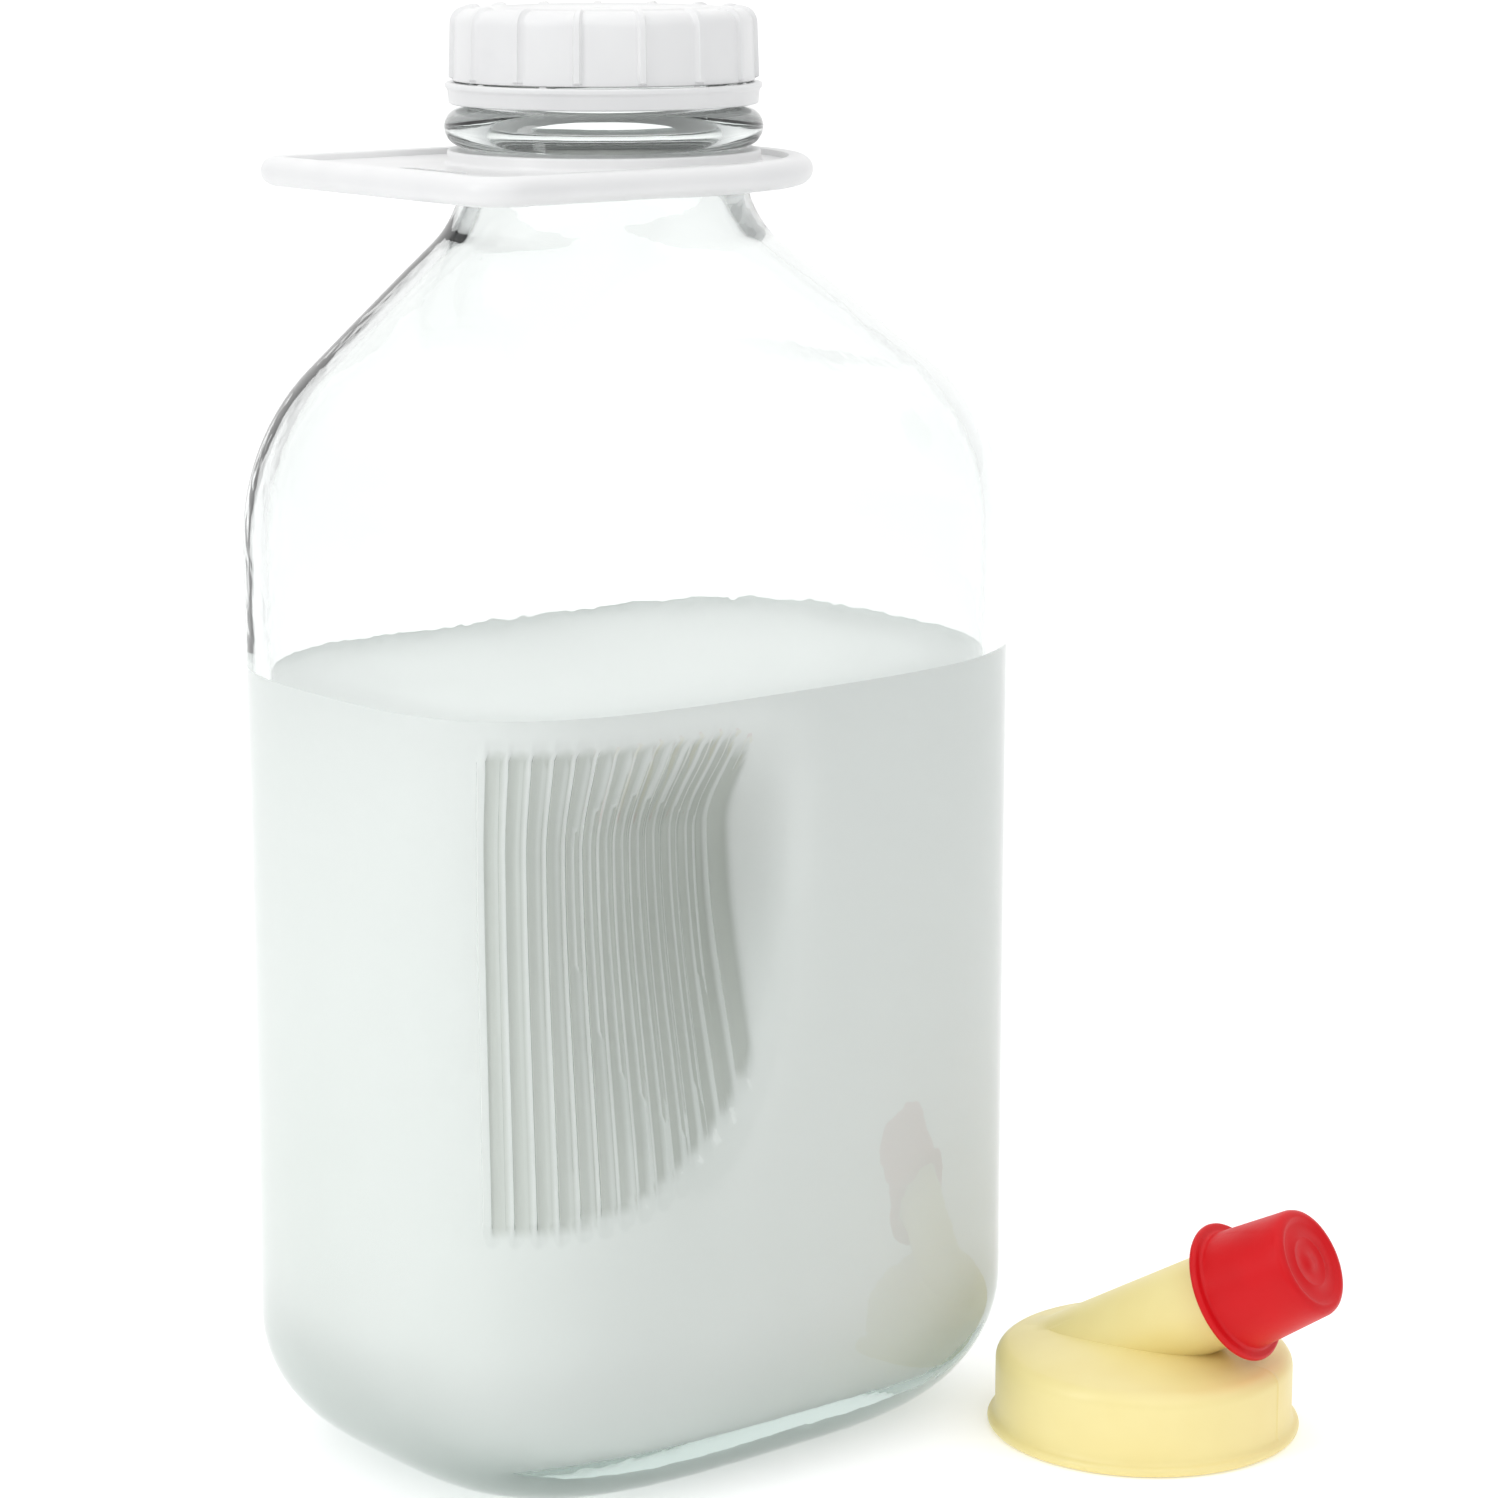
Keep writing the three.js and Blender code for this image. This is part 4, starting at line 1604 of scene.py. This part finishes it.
@dataclass
class PourerCap:
    """The soft red cap pushed over the pourer's tube: thin flange, tapered body and recessed end."""

    pourer: Pourer
    start: float = 20.4 * MM
    long: float = 18 * MM
    flange_r: float = 13 * MM
    mouth_r: float = 11 * MM
    end_r: float = 9.9 * MM
    bore_r: float = 9.1 * MM
    flange_thick: float = 1.4 * MM
    fillet: float = 0.7 * MM
    edge: float = 1.3 * MM
    recess: float = 0.7 * MM

    def build(self, material: bpy.types.Material) -> bpy.types.Object:
        """Models the cap and ties it to its body.

        Args:
            material: The red vinyl.

        Returns:
            The cap.
        """
        half = self.flange_thick / 2
        end = self.long
        face = end - self.recess
        profile = [
            (2 * MM, end - 2.4 * MM),
            (self.bore_r - 0.6 * MM, end - 2.4 * MM),
            (self.bore_r, end - 3 * MM),
            (self.bore_r, 0.5 * MM),
            (self.bore_r + 0.4 * MM, 0.0),
            *arc(self.flange_r - half, half, half, -90, 90, 8),
            *arc(self.mouth_r + self.fillet, self.flange_thick + self.fillet, self.fillet, 270, 180, 5),
            *straight((self.mouth_r, 2.4 * MM), (self.end_r + 0.1 * MM, end - 1.4 * MM), 8),
            *arc(self.end_r - self.edge, end - self.edge, self.edge, 15, 90, 6),
            (self.end_r - 1.5 * MM, end),
            (self.end_r - 1.8 * MM, end - 0.1 * MM),
            (self.end_r - 2.3 * MM, face + 0.1 * MM),
            (self.end_r - 2.8 * MM, face),
            (4.9 * MM, face),
            (4.7 * MM, face + 0.16 * MM),
            (4.3 * MM, face + 0.16 * MM),
            (4.1 * MM, face),
            (1.6 * MM, face),
            (1.3 * MM, face + 0.2 * MM),
            (0.5 * MM, face + 0.3 * MM),
        ]
        rings = turned_rings([(r, z + self.start) for r, z in profile], even_turn(112))
        piece = loft("pourer_cap_moulding", self.pourer.on_tube(rings))
        smooth(piece, 40)
        finish_piece(piece, "spout_plug", "spout_cap", material)
        return piece


# ------------------------------------------------------------------ studio


@dataclass
class Studio:
    """A pale floor with painted shade and a painted glow, soft lamps and the camera."""

    centre: tuple[float, float]
    camera_turn: float = 37.473
    camera_yaw: float = 1.595
    camera_pitch: float = 11.85
    camera_back: float = 744.0 * MM
    camera_side: float = 0.23 * MM
    camera_high: float = 281.1 * MM
    focal_share: float = 4221.2 / 1498.0
    sensor: float = 36.0
    floor_size: float = 60.0
    # painted light: how brightly the floor glows
    floor_glow: float = 0.26

    def camera(self) -> bpy.types.Object:
        """Sets up the camera.

        Returns:
            The camera.
        """
        data = bpy.data.cameras.new("camera")
        data.sensor_width = self.sensor
        data.lens = self.sensor * self.focal_share
        camera = bpy.data.objects.new("camera", data)
        bpy.context.scene.collection.objects.link(camera)
        turn = math.radians(-self.camera_turn)
        place = Matrix.Rotation(turn, 3, "Z") @ Vector((self.camera_side, -self.camera_back, 0.0))
        camera.location = (self.centre[0] + place.x, self.centre[1] + place.y, self.camera_high)
        aim = math.radians(-self.camera_turn - self.camera_yaw)
        camera.rotation_euler = (math.radians(90 - self.camera_pitch), 0.0, aim)
        bpy.context.scene.camera = camera
        return camera

    def sideways(self, graph: Graph, way: bpy.types.NodeSocket) -> bpy.types.NodeSocket:
        """How far a direction turns away from the bright backdrop, from 0 behind the bottle to 1.

        Args:
            graph: The graph to wire it in.
            way: The direction.

        Returns:
            The share of the room's shade in that direction.
        """
        turn = math.radians(-self.camera_turn - self.camera_yaw)
        front = (math.sin(turn), -math.cos(turn), 0.0)
        facing = graph.add("VectorMath", {0: way, 1: front}, operation="DOT_PRODUCT").outputs["Value"]
        return graph.spread(facing, -0.92, -0.1)

    def floor(self) -> bpy.types.Object:
        """Lays the floor: pale near its middle and behind the bottle, with painted shade further out
        elsewhere and a faint painted glow.

        Returns:
            The floor.
        """
        deselect_all()
        bpy.ops.mesh.primitive_plane_add(size=self.floor_size, location=(0.0, 0.0, -0.0002))
        floor = bpy.context.object
        floor.name = "studio_floor"
        material, graph = new_material("pale_floor")
        point = graph.object_point()
        away = graph.add("VectorMath", {0: point}, operation="LENGTH").outputs["Value"]
        way = graph.add("VectorMath", {0: point}, operation="NORMALIZE").outputs["Vector"]
        # Painted shade: the floor darkens with distance from its middle, except behind the bottle as the
        # camera sees it; a little random speckle is mixed in.
        dim = graph.math("MULTIPLY", graph.spread(away, 0.3, 1.1), self.sideways(graph, way))
        shade_and_speckle = graph.math("MULTIPLY_ADD", graph.noise(point, 3.0), 0.03, dim)
        shader = graph.add("BsdfPrincipled", {
            "Base Color": graph.mix(shade_and_speckle, (0.93, 0.93, 0.93), (0.4, 0.41, 0.42)),
            "Roughness": 0.9,
            "Specular IOR Level": 0.1,
            # Painted light: the floor glows, at half strength where the painted shade is full.
            "Emission Color": (1.0, 1.0, 1.0, 1.0),
            "Emission Strength": graph.math("MULTIPLY_ADD", dim, -0.5 * self.floor_glow, self.floor_glow),
        })
        graph.add("OutputMaterial", {"Surface": shader.outputs[0]})
        floor.data.materials.append(material)
        return floor

    def lamp(
        self,
        name: str,
        azimuth: float,
        elevation: float,
        away: float,
        size: tuple[float, float],
        watts: float,
    ) -> None:
        """Hangs a square soft lamp that faces the bottle.

        Args:
            name: The lamp's name.
            azimuth: Direction round the bottle in degrees, 0 on its -Y side and 90 on its +X side.
            elevation: Height above the horizon in degrees.
            away: Distance from the bottle.
            size: Width and height of the lamp.
            watts: Its power.
        """
        data = bpy.data.lights.new(name, "AREA")
        data.shape = "RECTANGLE"
        data.size, data.size_y = size
        data.energy = watts
        lamp = bpy.data.objects.new(name, data)
        bpy.context.scene.collection.objects.link(lamp)
        a, e = math.radians(azimuth), math.radians(elevation)
        back = Vector((math.sin(a) * math.cos(e), -math.cos(a) * math.cos(e), math.sin(e)))
        lamp.location = Vector((*self.centre, 0.12)) + back * away
        lamp.rotation_mode = "QUATERNION"
        lamp.rotation_quaternion = back.to_track_quat("Z", "Y")

    def sky(self) -> None:
        """Gives the room its light: bright behind and above, dimmer in front, where the glass mirrors it."""
        world = bpy.data.worlds.new("studio")
        bpy.context.scene.world = world
        world.use_nodes = True
        graph = Graph(world.node_tree)
        way = graph.add("TexCoord").outputs["Generated"]
        height = graph.add("SeparateXYZ", {"Vector": way}).outputs["Z"]
        dim = graph.math("MULTIPLY", self.sideways(graph, way), graph.spread(height, 0.75, 0.25))
        colour = graph.mix(dim, (1.03, 1.03, 1.03), (0.5, 0.51, 0.52))
        background = graph.add("Background", {"Color": colour, "Strength": 1.0})
        graph.add("OutputWorld", {"Surface": background.outputs[0]})

    def build(self) -> None:
        """Sets up the whole studio."""
        self.floor()
        self.sky()
        self.lamp("key_lamp", -96, 30, 1.3, (0.3, 0.9), 3.5)
        self.lamp("front_fill", -20, 35, 1.6, (0.7, 0.7), 2.3)
        self.lamp("top_lamp", -60, 82, 1.2, (1.0, 1.0), 1.3)
        scene = bpy.context.scene
        scene.view_settings.view_transform = "Standard"
        scene.view_settings.look = "None"


# ------------------------------------------------------------------ assembly


def main() -> None:
    """Builds the studio and every piece, in order, and reports each piece."""
    logging.basicConfig(level=logging.INFO, format="%(message)s")
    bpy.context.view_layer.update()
    bottle = GlassBottle()
    studio = Studio((bottle.centre.x, bottle.centre.y))
    studio.camera()
    studio.build()
    effects = Effects()
    white = WHITE_PLASTIC.material(effects)
    bottle.build(ClearGlass().material(effects))
    MilkFill(bottle).build(Milk().material(effects))
    axis = bottle.neck_axis
    ScrewCap(axis).build(white)
    SealingDisc(axis, bottle.finish_r - bottle.lip_round).build(LINER_FOAM.material(effects))
    TamperBand(axis).build(white)
    CarryingPlate(axis).build(white)
    pourer = Pourer()
    pourer.build(YELLOW_VINYL.material(effects))
    PourerCap(pourer).build(RED_VINYL.material(effects))


if __name__ == "__main__":
    main()
